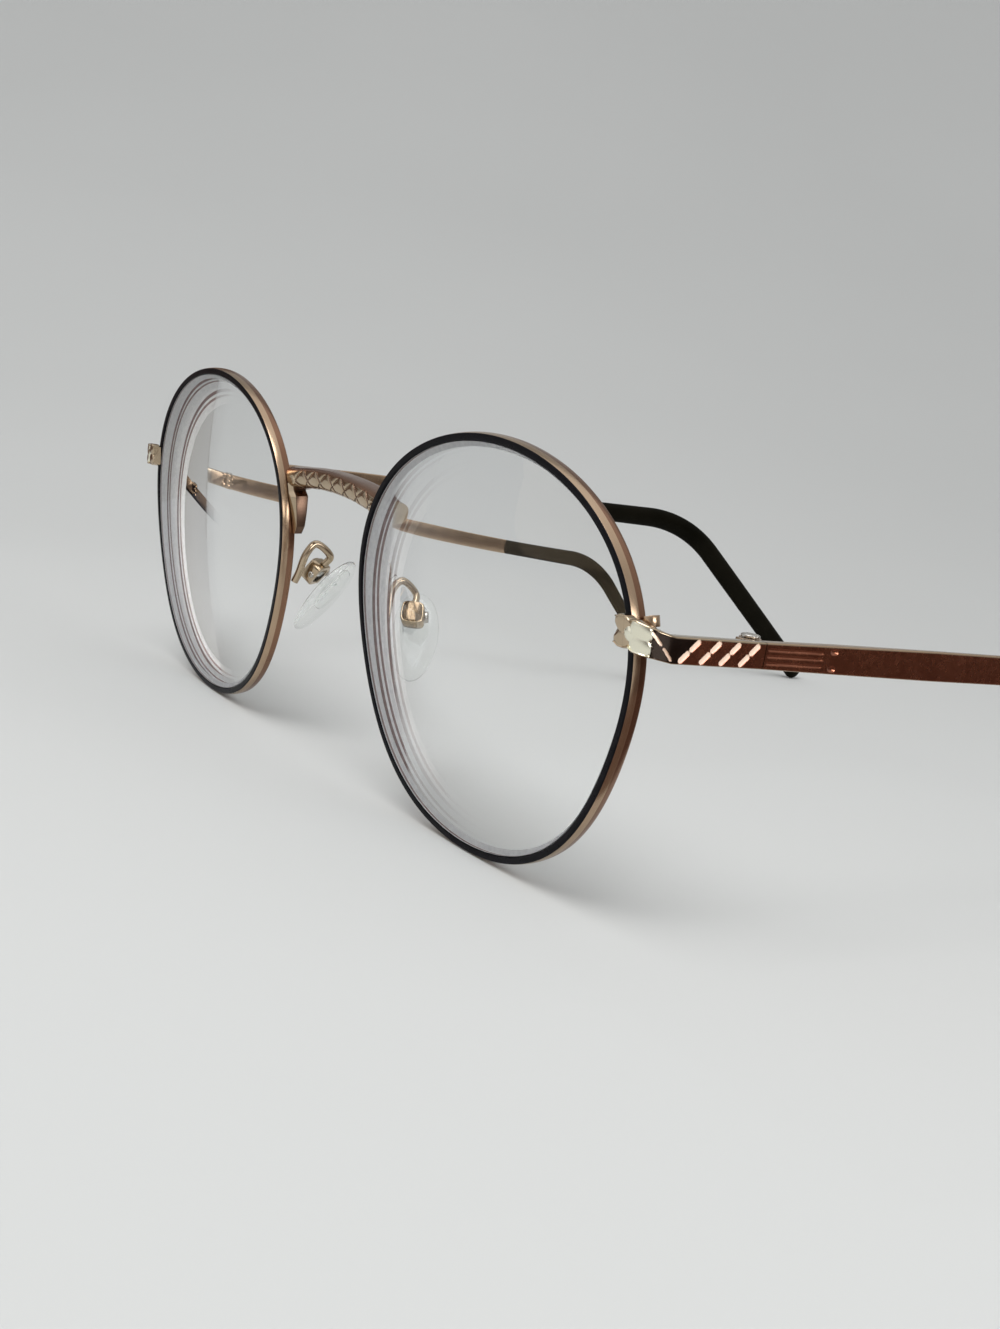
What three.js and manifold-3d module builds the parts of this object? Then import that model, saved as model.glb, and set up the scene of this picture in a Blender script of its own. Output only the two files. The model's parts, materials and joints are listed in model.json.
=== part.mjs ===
// Round full-rim metal eyeglasses. Two split rims clamp strong minus lenses, an arched bridge joins
// them, the nose pads rock on wire arms, and the temples fold inwards on three-knuckle screw hinges.
// Millimetres. +X is the wearer's left, +Y runs back to the ears, +Z is up.
// The open frame stands on z = 0, with the origin under the middle of its box.

import * as THREE from "three";
import { mergeVertices } from "three/addons/utils/BufferGeometryUtils.js";
import Module from "manifold-3d";

const wasm = await Module();
wasm.setup();
const { degToRad, lerp, smoothstep } = THREE.MathUtils;

// Front: boxed lens size, the gap between the boxes, and how the front leans and wraps.
const LENS_WIDTH = 51;
const LENS_HEIGHT = 46;
const LENS_GAP = 22.5;
const FRONT_TILT = degToRad(7);
const FRONT_WRAP = degToRad(3);

// Lens outline: shares of the radius that flatten the brow, square the sides and fill the cheeks.
const BROW = 0.032;
const SQUARENESS = -0.01;
const CHEEK = 0.008;

// Fits between pieces: soldered or seated faces, and faces that turn on each other.
const SEAT = 0.06;
const RUNNING = 0.06;

// Rim section, with the lens groove inside; the walls count from the boxed outline.
const RIM_DEPTH = 1.9;
const RIM_OUTER_WALL = 0.55;
const GROOVE_DEPTH = 0.45;
const GROOVE_WIDTH = 1.1;
const RIM_CHAMFER = 0.16;
const RIM_CROWN = 0.1;
const RIM_SPLIT = 0.3;

// Lens: meniscus, thin in the middle and thick at the edge, chamfered behind the rim. The axis of its back
// stands towards the nose and below the middle of the outline, for the wearer's eyes.
const LENS_CENTRE_THICKNESS = 1.2;
const LENS_FRONT_RADIUS = 300;
const LENS_BACK_RADIUS = 126;
const LENS_AXIS_OFFSET_LEFT = 0.5;
const LENS_AXIS_OFFSET_RIGHT = 4;
const LENS_AXIS_DROP = 2;
const LENS_SETBACK = 0.1;
const LENS_EDGE_DEPTH = 2.2;
const LENS_CHAMFER_WIDTH = 0.7;
const LENS_CHAMFER_DEPTH = 0.4;
const BEVEL_WIDTH = 0.9;
const LENS_FRONT_RINGS = [0.5, 1];
const LENS_BACK_RINGS = [1, 0.75, 0.5, 0.25];

// Bridge: arched bar set behind the rims' front, with a section that grows to its ends.
const BRIDGE_HEIGHT = 11.2;
const BRIDGE_SETBACK = 3.2;
const BRIDGE_RISE_HEIGHT = 1.1;
const BRIDGE_BOW_DEPTH = 0.15;
const BAR_MIDDLE_DEPTH = 3.3;
const BAR_MIDDLE_HEIGHT = 2.7;
const BAR_END_DEPTH = 4.2;
const BAR_END_HEIGHT = 2.8;
const BAR_SQUARE = 0.65;
const BAR_REACH = 0.88;
const BAR_SIDES = 16;
const BAR_STATIONS = 12;

// Foot of the bridge: its rows are shares of the height, of the thickness, and of the depth at which the
// chamfer starts and the back stands.
const FOOT_HEIGHT = 10.6;
const FOOT_THICKNESS = 1.3;
const FOOT_DEPTH = 3.3;
const FOOT_FACE_DEPTH = 1.55;
const FOOT_ROWS = [
  [1, 0.58, 0.3, 1],
  [0.9, 0.58, 0.3, 1],
  [0.835, 1, 0.3, 1],
  [0.67, 0.92, 0.36, 0.92],
  [0.505, 0.85, 0.42, 0.83],
  [0.415, 0.31, 0.45, 0.79],
];

// End piece: a band from the rim's front round the corner to the hinge seam.
const ENDPIECE_HEIGHT = 7.8;
const PLATE_OVERLAP = 0.9;
const ENDPIECE_FRONT_BAND = 3.3;
const ENDPIECE_THICKNESS = 1.3;
const ENDPIECE_REACH = 3.4;
const ENDPIECE_CORNER = 3;
const CORNER_RISE_SHARE = 0.3;
const CORNER_STEPS = 7;
const BAND_CHAMFER = 0.25;

// Carving on the end piece: notches part four lobes on the plate, and crossed strokes follow on the side.
const LOBE_TURN = 0.28;
const LOBE_END_TURN = 0.6;
const LOBE_MIDDLE = 0.35;
const NOTCH_DEPTH = 0.45;
const NOTCH_POINT = 0.06;
const STROKE_CENTRES = [9.64, 7.12, 4.59, 2.06];
const STROKE_REACH = 1.05;
const STROKE_DEPTH = 0.16;
const CUT_SPREAD = 1.7;

// Rim lock: two blocks on the ends of the split rim, pulled together by one screw.
const LOCK_BLOCK_HEIGHT = 1.1;
const LOCK_RADIUS = 0.9;
const LOCK_FRONT = 0.55;
const LOCK_SCREW_RADIUS = 0.5;
const LOCK_HEAD_RADIUS = 0.85;
const LOCK_HEAD_HEIGHT = 0.3;

// Hinge: where its axis stands, and its knuckles, leaves and screw.
const HINGE_HEIGHT = 7;
const HINGE_SETBACK = 14.3;
const KNUCKLE_RADIUS = 1.15;
const KNUCKLE_STACK = 2.7;
const KNUCKLE_MIDDLE = 0.9;
const LEAF_THICKNESS = 0.7;
const LEAF_LENGTH = 7;
const LEAF_HEIGHT = 2.2;
const LEAF_RELIEF = 0.1;
const HINGE_SCREW_RADIUS = 0.65;
const HINGE_HEAD_RADIUS = 1;
const HINGE_HEAD_HEIGHT = 0.3;

// Temple: lengths run back from the hinge axis along the arm.
const TEMPLE_LENGTH = 145;
const TEMPLE_SEAM_BAND = 2.75;
const TEMPLE_BAND = 3.3;
const TEMPLE_THICKNESS = 0.8;
const TEMPLE_ROOT_LENGTH = 10.5;
const TEMPLE_TAPER_LENGTH = 14;
const SEAM_GAP = 0.1;
const BEND_START = 88;
const BEND_RADIUS = 28;
const BEND_ANGLE = degToRad(37.9);

// Root of the temple: reeds along its outer face, then a thumb cut at each edge.
const REED_GROOVES = [0.68, 0.02, -0.72];
const REED_HALF = 0.3;
const REED_DEPTH = 0.16;
const REED_START = 0.6;
const REED_END = 7.7;
const REED_RUNOUT = 0.5;
const THUMB_AT = 9.45;
const THUMB_HEIGHT = 0.85;
const THUMB_RADII = [0.28, 0.95, 0.5];
const THUMB_FACETS = [8, 6];

// Temple tip: sleeve over the core of the temple.
const TIP_START = 62;
const TIP_FRONT_BAND = 3.4;
const TIP_BAND = 4.1;
const TIP_THICKNESS = 2.4;
const TIP_ROUND = 2;
const TIP_ROUND_SHARES = [0.5, 0.85, 0.98];
const TIP_SIDES = 12;
const BEND_STEPS = 6;
const CORE_BAND = 1.6;
const CORE_THICKNESS = 1.1;
const CORE_ROOT = 2;
const CORE_CLOSE = 7;

// Nose pads: where the pad screw stands behind the front, how the pad turns, and the wire arm.
const PAD_SPACING = 25;
const PAD_SETBACK = 4.9;
const PAD_DROP = 1.5;
const PAD_SPLAY = degToRad(32);
const PAD_FRONTAL_ANGLE = degToRad(38);
const ARM_RADIUS = 0.5;
const ARM_ROOT_LOW = -2.3;
const ARM_ROOT_HIGH = -1.2;
const ARM_LOOP_TOP = 3.3;
const ARM_LIFT = 1.3;
const ARM_LEG_SHARE = 0.7;
const ARM_LOOP_SHARE = 0.45;
const ARM_STEPS = 24;

// Pad box, screw, core and silicone pad, along the screw, towards the nose and up the pad. The skin of
// the box goes from its back to its mouth: share of the depth, and how far the side steps in.
const BOX_WIDTH = 3.2;
const BOX_DEPTH = 2.2;
const BOX_HEIGHT = 3.2;
const BOX_WALL = 0.55;
const BOX_CORNER = 0.7;
const BOX_SKIN = [[0, 0.5], [0.06, 0.15], [0.2, 0], [1, 0]];
const PAD_SCREW_RADIUS = 0.45;
const PAD_HEAD_RADIUS = 0.8;
const PAD_HEAD_HEIGHT = 0.45;
const PAD_SCREW_END = 0.24;
const LUG_PLAY = 0.15;
const NECK_HEIGHT = 1.2;
const CORE_PLATE_WIDTH = 4;
const CORE_PLATE_HEIGHT = 7;
const CORE_PLATE_THICKNESS = 0.6;
const PAD_WIDTH = 7;
const PAD_HEIGHT = 13;
const PAD_THICKNESS = 2.1;
const PAD_STANDOFF = 1.9;
const PAD_MOUNT_OFFSET = 1.6;
const PAD_EGG = 0.14;
const PAD_SIDES = 24;

// Skin of the pad from its back to its crown: share of the thickness, and how far the edge steps in.
const PAD_PROFILE = [[0, 0.5], [0.2, 0.1], [0.45, 0], [0.75, 0.35], [0.92, 1], [1, 2]];

// Shared by all the screws: slot, and shares of the radius or the height that shape the ends.
const SLOT_WIDTH = 0.25;
const SLOT_SHARE = 0.55;
const SCREW_POINT_SHARE = 0.4;
const HEAD_WALL_SHARE = 0.7;
const HEAD_TOP_SHARE = 0.85;

// Facets round the pieces.
const RIM_STEPS = 60;
const LENS_SIDES = 60;
const ROUND_SIDES = 16;
const WIRE_SIDES = 8;
const ARC_STEPS = 8;
const CORNER_ARC_STEPS = 3;
const WELD = 1e-5;
const THROUGH = 1;

const ROSE_GOLD = { color: 0xb98e70, metalness: 1, roughness: 0.3 };
const PALE_GOLD = { color: 0xd6ba90, metalness: 1, roughness: 0.22 };
const SCREW_STEEL = { color: 0xa9a29a, metalness: 1, roughness: 0.3 };
const TIP_BLACK = { color: 0x17130f, metalness: 0, roughness: 0.35 };
const LENS_CLEAR = { color: 0xe4ecf2, metalness: 0, roughness: 0.02, transparent: true, opacity: 0.3 };
const SILICONE = { color: 0xe4e7e2, metalness: 0, roughness: 0.25, transparent: true, opacity: 0.5 };

const EYE_X = (LENS_GAP + LENS_WIDTH) / 2;
const KNUCKLE_FACE = KNUCKLE_RADIUS + LEAF_RELIEF;
const BORE_ALLOWANCE = 1 / Math.cos(Math.PI / ROUND_SIDES);

// Geometry helpers

function welded(geometry) {
  const bare = new THREE.BufferGeometry();
  bare.setAttribute("position", geometry.getAttribute("position").clone());
  bare.setIndex(geometry.index ? geometry.index.clone() : null);
  const merged = mergeVertices(bare, WELD);
  const faces = [];
  const index = merged.index.array;
  for (let i = 0; i < index.length; i += 3) {
    const [a, b, c] = [index[i], index[i + 1], index[i + 2]];
    if (a !== b && b !== c && c !== a) faces.push(a, b, c);
  }
  merged.setIndex(faces);
  return merged;
}

function solidOf(geometry) {
  const merged = welded(geometry);
  return new wasm.Manifold(new wasm.Mesh({
    numProp: 3,
    vertProperties: Float32Array.from(merged.getAttribute("position").array),
    triVerts: Uint32Array.from(merged.index.array),
  }));
}

function geometryOf(solid) {
  const mesh = solid.getMesh();
  const geometry = new THREE.BufferGeometry();
  geometry.setAttribute("position", new THREE.BufferAttribute(mesh.vertProperties, 3));
  geometry.setIndex(new THREE.BufferAttribute(mesh.triVerts, 1));
  return geometry;
}

function joined(...geometries) {
  return geometryOf(geometries.map(solidOf).reduce((whole, more) => whole.add(more)));
}

function cut(geometry, ...tools) {
  return geometryOf(tools.map(solidOf).reduce((rest, tool) => rest.subtract(tool), solidOf(geometry)));
}

// The mirror image across the plane between the eyes, with its faces turned back outwards.
function mirrored(geometry) {
  const image = welded(geometry).scale(-1, 1, 1);
  const index = image.index.array;
  for (let i = 0; i < index.length; i += 3) {
    [index[i], index[i + 1]] = [index[i + 1], index[i]];
  }
  return image;
}

// Closed skin through rings that have the same number of points, with a flat fan over each end.
function loft(rings) {
  const sides = rings[0].length;
  const middle = (ring) => {
    const sum = ring.reduce((total, point) => total.add(point), new THREE.Vector3());
    return sum.divideScalar(sides);
  };
  const points = [...rings.flat(), middle(rings[0]), middle(rings.at(-1))];
  const last = (rings.length - 1) * sides;
  const faces = [];
  for (let side = 0; side < sides; side += 1) {
    const next = (side + 1) % sides;
    for (let ring = 0; ring < last; ring += sides) {
      faces.push(ring + side, ring + next, ring + next + sides);
      faces.push(ring + side, ring + next + sides, ring + side + sides);
    }
    faces.push(next, side, last + sides);
    faces.push(last + side, last + next, last + sides + 1);
  }
  return new THREE.BufferGeometry().setFromPoints(points).setIndex(faces);
}

// A flat section as a ring in space; across x up points the way the skin runs.
function ringOf(section, origin, across, up) {
  return section.map((p) => origin.clone().addScaledVector(across, p.x).addScaledVector(up, p.y));
}

function chamferedSection(width, height, chamfer) {
  const x = width / 2;
  const y = height / 2;
  return [
    [x, y - chamfer], [x - chamfer, y], [chamfer - x, y], [-x, y - chamfer],
    [-x, chamfer - y], [chamfer - x, -y], [x - chamfer, -y], [x, chamfer - y],
  ].map(([px, py]) => new THREE.Vector2(px, py));
}

function ovalSection(width, height, sides) {
  return Array.from({ length: sides }, (_, i) => {
    const angle = (2 * Math.PI * i) / sides;
    return new THREE.Vector2((width / 2) * Math.cos(angle), (height / 2) * Math.sin(angle));
  });
}

function boxBetween(low, high) {
  const box = new THREE.Box3(new THREE.Vector3(...low), new THREE.Vector3(...high));
  const size = box.getSize(new THREE.Vector3());
  const centre = box.getCenter(new THREE.Vector3());
  return new THREE.BoxGeometry(size.x, size.y, size.z).translate(centre.x, centre.y, centre.z);
}

// Cylinder along Z between two heights.
function barrel(radius, low, high) {
  const cylinder = new THREE.CylinderGeometry(radius, radius, high - low, ROUND_SIDES);
  return cylinder.rotateX(Math.PI / 2).translate(0, 0, (low + high) / 2);
}

// Slotted screw along Z: the head stands on z = 0 and the shank goes down.
function screw(headRadius, headHeight, shankRadius, length) {
  const point = shankRadius * SCREW_POINT_SHARE;
  const profile = [
    [0, -length], [shankRadius - point, -length], [shankRadius, point - length], [shankRadius, 0],
    [headRadius, 0], [headRadius, headHeight * HEAD_WALL_SHARE],
    [headRadius * HEAD_TOP_SHARE, headHeight], [0, headHeight],
  ].map(([x, y]) => new THREE.Vector2(x, y));
  const body = new THREE.LatheGeometry(profile, ROUND_SIDES).rotateX(Math.PI / 2);
  const bottom = headHeight * (1 - SLOT_SHARE);
  const [reach, half] = [headRadius + THROUGH, SLOT_WIDTH / 2];
  return cut(body, boxBetween([-reach, -half, bottom], [reach, half, headHeight + THROUGH]));
}

function piece(name, geometry, finish) {
  const mesh = new THREE.Mesh(geometry, new THREE.MeshStandardMaterial(finish));
  mesh.name = name;
  return mesh;
}

// Lens outline in the plane of one eye: x towards the temple, z up, centred on its box.

function outlineRadius(angle) {
  return 1 + BROW * Math.sin(3 * angle) + SQUARENESS * Math.cos(4 * angle) + CHEEK * Math.sin(5 * angle);
}

const OUTLINE_SAMPLES = 720;
const HALVINGS = 40;
const outlineBox = new THREE.Box2().setFromPoints(Array.from({ length: OUTLINE_SAMPLES }, (_, i) => {
  const angle = (2 * Math.PI * i) / OUTLINE_SAMPLES;
  return new THREE.Vector2(Math.cos(angle), Math.sin(angle)).multiplyScalar(outlineRadius(angle));
}));
const outlineCentre = outlineBox.getCenter(new THREE.Vector2());
const outlineSize = outlineBox.getSize(new THREE.Vector2());

class LensOutline extends THREE.Curve {
  constructor(startAngle, endAngle) {
    super();
    this.startAngle = startAngle;
    this.endAngle = endAngle;
  }

  getPoint(share, target = new THREE.Vector3()) {
    const angle = lerp(this.startAngle, this.endAngle, share);
    const radius = outlineRadius(angle);
    const x = (radius * Math.cos(angle) - outlineCentre.x) * (LENS_WIDTH / outlineSize.x);
    const z = (radius * Math.sin(angle) - outlineCentre.y) * (LENS_HEIGHT / outlineSize.y);
    return target.set(x, 0, z);
  }
}

const wholeOutline = new LensOutline(0, 2 * Math.PI);

// Point on the outline, moved outwards by a wall, with the outward direction there.
function outlineAt(angle, wall) {
  const share = angle / (2 * Math.PI);
  const tangent = wholeOutline.getTangent(share);
  const outward = new THREE.Vector3(tangent.z, 0, -tangent.x);
  const point = wholeOutline.getPoint(share).addScaledVector(outward, wall);
  return { point, outward };
}

// Angle of the outline at a height, between a lower and an upper end of one side.
function angleAtHeight(height, lowAngle, highAngle) {
  let [low, high] = [lowAngle, highAngle];
  for (let i = 0; i < HALVINGS; i += 1) {
    const middle = (low + high) / 2;
    const below = wholeOutline.getPoint(middle / (2 * Math.PI)).z < height;
    if (below) low = middle;
    else high = middle;
  }
  return (low + high) / 2;
}

const templeSideAngle = (height) => angleAtHeight(height, -Math.PI / 2, Math.PI / 2);
const noseSideAngle = (height) => angleAtHeight(height, (3 * Math.PI) / 2, Math.PI / 2);

// Frames: the front leans on the level frame, and each eye wraps on the front.
const FRONT_TO_LEVEL = new THREE.Matrix4().makeRotationX(FRONT_TILT);
const EYE_TO_FRONT = new THREE.Matrix4().makeTranslation(EYE_X, 0, 0)
  .multiply(new THREE.Matrix4().makeRotationZ(FRONT_WRAP));
const EYE_TO_LEVEL = FRONT_TO_LEVEL.clone().multiply(EYE_TO_FRONT);

// Outer face of the end pieces and temples, and the hinge axis inside it.
const RIM_SIDE = new THREE.Vector3(LENS_WIDTH / 2 + RIM_OUTER_WALL, 0, 0).applyMatrix4(EYE_TO_LEVEL).x;
const SIDE_X = RIM_SIDE + ENDPIECE_REACH;
const HINGE_X = SIDE_X - ENDPIECE_THICKNESS - SEAT - KNUCKLE_FACE;

// Rim and lens, in the eye's frame

// A section swept along part of the outline: depth behind the front plane, and height off the outline.
function outlineSweep(section, startAngle, endAngle, steps) {
  const shape = new THREE.Shape(section.map(([depth, wall]) => new THREE.Vector2(-depth, wall)));
  return new THREE.ExtrudeGeometry(shape, { steps, extrudePath: new LensOutline(startAngle, endAngle) });
}

const LOCK_ANGLE = templeSideAngle(ENDPIECE_HEIGHT);

function rimGeometry() {
  const [inside, outside, chamfer] = [-GROOVE_DEPTH, RIM_OUTER_WALL, RIM_CHAMFER];
  const groove = RIM_DEPTH / 2;
  const shoulder = outside - RIM_CROWN;
  const section = [
    [0, inside + chamfer], [0, shoulder - chamfer], [chamfer, shoulder], [groove, outside],
    [RIM_DEPTH - chamfer, shoulder], [RIM_DEPTH, shoulder - chamfer],
    [RIM_DEPTH, inside + chamfer], [RIM_DEPTH - chamfer, inside],
    [groove + GROOVE_WIDTH / 2, inside], [groove, 0], [groove - GROOVE_WIDTH / 2, inside],
    [chamfer, inside],
  ];
  const half = RIM_SPLIT / 2 / outlineAt(LOCK_ANGLE, 0).point.length();
  return outlineSweep(section, LOCK_ANGLE + half, LOCK_ANGLE + 2 * Math.PI - half, RIM_STEPS);
}

function lensGeometry(axisOffset) {
  const edgeWall = -GROOVE_DEPTH - SEAT;
  const edgeRadius = (LENS_WIDTH + LENS_HEIGHT) / 4 + edgeWall;
  const sag = (x, z, radius) => (x ** 2 + z ** 2) / (2 * radius);
  const frontVertex = LENS_SETBACK - edgeRadius ** 2 / (2 * LENS_FRONT_RADIUS);
  const backVertex = frontVertex + LENS_CENTRE_THICKNESS;
  const bevel = RIM_DEPTH / 2;
  const ring = (wall, share, depth) => Array.from({ length: LENS_SIDES }, (_, i) => {
    const { point } = outlineAt((2 * Math.PI * i) / LENS_SIDES, wall);
    point.multiplyScalar(share);
    return point.setY(depth(point));
  });
  const frontDepth = (p) => frontVertex + sag(p.x, p.z, LENS_FRONT_RADIUS);
  const backDepth = (p) => backVertex + sag(p.x + axisOffset, p.z + LENS_AXIS_DROP, LENS_BACK_RADIUS);
  const edgeDepth = (p) => Math.min(LENS_EDGE_DEPTH, backDepth(p) - LENS_CHAMFER_DEPTH);
  const front = (share) => ring(edgeWall, share, frontDepth);
  const back = (share) => ring(edgeWall - LENS_CHAMFER_WIDTH, share, backDepth);
  const edge = (wall, depth) => ring(wall, 1, () => depth);
  return loft([
    ...LENS_FRONT_RINGS.map(front),
    edge(edgeWall, bevel - BEVEL_WIDTH / 2),
    edge(-SEAT, bevel),
    edge(edgeWall, bevel + BEVEL_WIDTH / 2),
    ring(edgeWall, 1, edgeDepth),
    ...LENS_BACK_RINGS.map(back),
  ].reverse());
}

// Rim lock, in a frame on the rim's outer face at the split: x out of the rim, y back, z along the rim

function lockFrame() {
  const frame = new THREE.Group();
  const { point, outward } = outlineAt(LOCK_ANGLE, RIM_OUTER_WALL);
  frame.position.copy(point);
  frame.rotation.y = -Math.atan2(outward.z, outward.x);
  return frame;
}

const LOCK_AXIS = [SEAT + LOCK_RADIUS, LOCK_FRONT + LOCK_RADIUS];

// Block between two heights: square on the rim, rounded about the screw.
function lockBlock(low, high) {
  const [x, y] = LOCK_AXIS;
  const plan = new THREE.Shape();
  plan.moveTo(SEAT, y - LOCK_RADIUS);
  plan.absarc(x, y, LOCK_RADIUS, -Math.PI / 2, Math.PI / 2);
  plan.lineTo(SEAT, y + LOCK_RADIUS);
  const options = { depth: high - low, bevelEnabled: false, curveSegments: ARC_STEPS };
  const block = new THREE.ExtrudeGeometry(plan, options).translate(0, 0, low);
  const bore = barrel((LOCK_SCREW_RADIUS + SEAT) * BORE_ALLOWANCE, low - THROUGH, high + THROUGH);
  return cut(block, bore.translate(x, y, 0));
}

function lockScrew() {
  const reach = 2 * LOCK_BLOCK_HEIGHT + RIM_SPLIT;
  const turned = screw(LOCK_HEAD_RADIUS, LOCK_HEAD_HEIGHT, LOCK_SCREW_RADIUS, reach).rotateX(Math.PI);
  return turned.translate(LOCK_AXIS[0], LOCK_AXIS[1], -LOCK_BLOCK_HEIGHT - RIM_SPLIT / 2 - SEAT);
}

// Bridge, in the front's frame

// Wedge along the nose side of a rim, with a ledge under the bar and a lip at its lower end.
function footGeometry() {
  const rings = FOOT_ROWS.map(([height, thickness, chamfer, back]) => {
    const out = thickness * FOOT_THICKNESS;
    const [front, rear] = [chamfer * FOOT_DEPTH, back * FOOT_DEPTH];
    const corners = [[front, 0], [FOOT_FACE_DEPTH, out], [rear, out], [rear, 0]];
    return corners.map(([depth, rise]) => {
      const { point } = outlineAt(noseSideAngle(height * FOOT_HEIGHT), RIM_OUTER_WALL + SEAT + rise);
      return point.setY(depth).applyMatrix4(EYE_TO_FRONT);
    });
  });
  return loft(rings);
}

function squareSection(width, height) {
  const soften = (share) => Math.sign(share) * Math.abs(share) ** BAR_SQUARE;
  return ovalSection(2, 2, BAR_SIDES).map((p) => (
    new THREE.Vector2((soften(p.x) * width) / 2, (soften(p.y) * height) / 2)
  ));
}

// Bar between the rims; its end rings lie on their walls.
function bridgeBar() {
  const onWall = (height, depth) => {
    const { point } = outlineAt(noseSideAngle(height), RIM_OUTER_WALL + SEAT);
    return point.setY(depth).applyMatrix4(EYE_TO_FRONT);
  };
  const end = onWall(BRIDGE_HEIGHT, BRIDGE_SETBACK);
  const endSection = squareSection(BAR_END_DEPTH, BAR_END_HEIGHT);
  const endRing = endSection.map((p) => onWall(BRIDGE_HEIGHT + p.y, BRIDGE_SETBACK + p.x));
  const farRing = endRing.map((p) => new THREE.Vector3(-p.x, p.y, p.z));
  const rings = Array.from({ length: BAR_STATIONS + 1 }, (_, i) => {
    const t = BAR_REACH * ((2 * i) / BAR_STATIONS - 1);
    const crown = 1 - t * t;
    const bow = BRIDGE_BOW_DEPTH * crown;
    const at = new THREE.Vector3(t * end.x, end.y - bow, end.z + BRIDGE_RISE_HEIGHT * crown);
    const fall = -2 * t * BRIDGE_RISE_HEIGHT;
    const along = new THREE.Vector3(end.x, 2 * t * BRIDGE_BOW_DEPTH, fall).normalize();
    const across = new THREE.Vector3(0, 1, 0).cross(along).cross(along).negate().normalize();
    const depth = lerp(BAR_END_DEPTH, BAR_MIDDLE_DEPTH, crown);
    const height = lerp(BAR_END_HEIGHT, BAR_MIDDLE_HEIGHT, crown);
    return ringOf(squareSection(depth, height), at, across, along.clone().cross(across));
  });
  return loft([farRing, ...rings, endRing]);
}

function bridgeGeometry() {
  const foot = footGeometry();
  return joined(bridgeBar(), foot, mirrored(foot));
}

// End piece, in the level frame: its path runs along the middle of the band

const UPRIGHT = new THREE.Vector3(0, 0, 1);
const LEANING = UPRIGHT.clone().transformDirection(FRONT_TO_LEVEL);

function onPlate(wall) {
  const front = outlineAt(LOCK_ANGLE, 0).point;
  const depth = -SEAT - ENDPIECE_THICKNESS / 2;
  return new THREE.Vector3(front.x + wall, depth, front.z).applyMatrix4(EYE_TO_LEVEL);
}

const BAND_X = SIDE_X - ENDPIECE_THICKNESS / 2;
const BAND_INNER = onPlate(-PLATE_OVERLAP);
const BAND_TURN = onPlate(RIM_OUTER_WALL + SEAT);
const BAND_CORNER_HEIGHT = lerp(BAND_TURN.z, HINGE_HEIGHT, CORNER_RISE_SHARE);
const BAND_CORNER = new THREE.Vector3(BAND_X, BAND_TURN.y, BAND_CORNER_HEIGHT);
const BAND_SIDE = new THREE.Vector3(BAND_X, BAND_TURN.y + ENDPIECE_CORNER, HINGE_HEIGHT);
const BAND_SEAM = new THREE.Vector3(BAND_X, HINGE_SETBACK - SEAM_GAP / 2, HINGE_HEIGHT);
const BAND_BEND = new THREE.QuadraticBezierCurve3(BAND_TURN, BAND_CORNER, BAND_SIDE);

// Section's place at a point of the path, by how far it has turned the corner.
function bandStation(at, along, turned) {
  const up = LEANING.clone().lerp(UPRIGHT, turned).normalize();
  const across = UPRIGHT.clone().cross(along.clone().setZ(0).normalize());
  const band = lerp(ENDPIECE_FRONT_BAND, TEMPLE_SEAM_BAND, smoothstep(turned, 0, 1));
  return { at, up, across, band };
}

function bendStation(turned) {
  return bandStation(BAND_BEND.getPoint(turned), BAND_BEND.getTangent(turned), turned);
}

function onBandFace({ at, up, across }, height) {
  return at.clone().addScaledVector(across, -ENDPIECE_THICKNESS / 2).addScaledVector(up, height);
}

// Tool for a V cut along a line on a face, with a depth at its start and at its end.
function vCut(start, end, normal, startDepth, endDepth) {
  const along = end.clone().sub(start).normalize();
  const across = normal.clone().cross(along).normalize();
  const up = along.clone().cross(across);
  const ring = (at, depth) => ringOf(ovalSection(2 * CUT_SPREAD * depth, 2 * depth, 4), at, across, up);
  return loft([ring(start, startDepth), ring(end, endDepth)]);
}

// Notches that run in from the edges of the plate and part its four lobes.
function lobeCuts() {
  const middle = bendStation(LOBE_TURN);
  const normal = middle.across.clone().negate();
  const inner = bandStation(BAND_INNER, BAND_TURN.clone().sub(BAND_INNER), 0);
  const starts = [
    [onBandFace(inner, 0), 0],
    [onBandFace(middle, middle.band / 2), LOBE_MIDDLE],
    [onBandFace(middle, -middle.band / 2), -LOBE_MIDDLE],
    [onBandFace(bendStation(LOBE_END_TURN), 0), 0],
  ];
  return starts.map(([start, height]) => {
    const end = onBandFace(middle, height).lerp(start, LOBE_MIDDLE);
    return vCut(start, end, normal, NOTCH_DEPTH, NOTCH_POINT);
  });
}

// Crossed strokes on the side; their centres count forwards from the hinge axis.
function strokeCuts() {
  const outward = new THREE.Vector3(1, 0, 0);
  const place = (y, z) => new THREE.Vector3(SIDE_X, HINGE_SETBACK + y, HINGE_HEIGHT + z);
  return STROKE_CENTRES.flatMap((before) => [-STROKE_REACH, STROKE_REACH].map((rise) => {
    const start = place(-before - STROKE_REACH, -rise);
    const end = place(-before + STROKE_REACH, rise);
    return vCut(start, end, outward, STROKE_DEPTH, STROKE_DEPTH);
  }));
}

function endpieceGeometry() {
  const turns = Array.from({ length: CORNER_STEPS + 1 }, (_, i) => i / CORNER_STEPS);
  const stations = [
    bandStation(BAND_INNER, BAND_TURN.clone().sub(BAND_INNER), 0),
    ...turns.map(bendStation),
    bandStation(BAND_SEAM, BAND_SEAM.clone().sub(BAND_SIDE), 1),
  ];
  const band = loft(stations.map((station) => {
    const section = chamferedSection(ENDPIECE_THICKNESS, station.band, BAND_CHAMFER);
    return ringOf(section, station.at, station.across, station.up);
  }));
  return cut(band, ...lobeCuts(), ...strokeCuts());
}

// Hinge, in a frame on its axis at the seam: x out to the side, y back, z up

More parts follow.
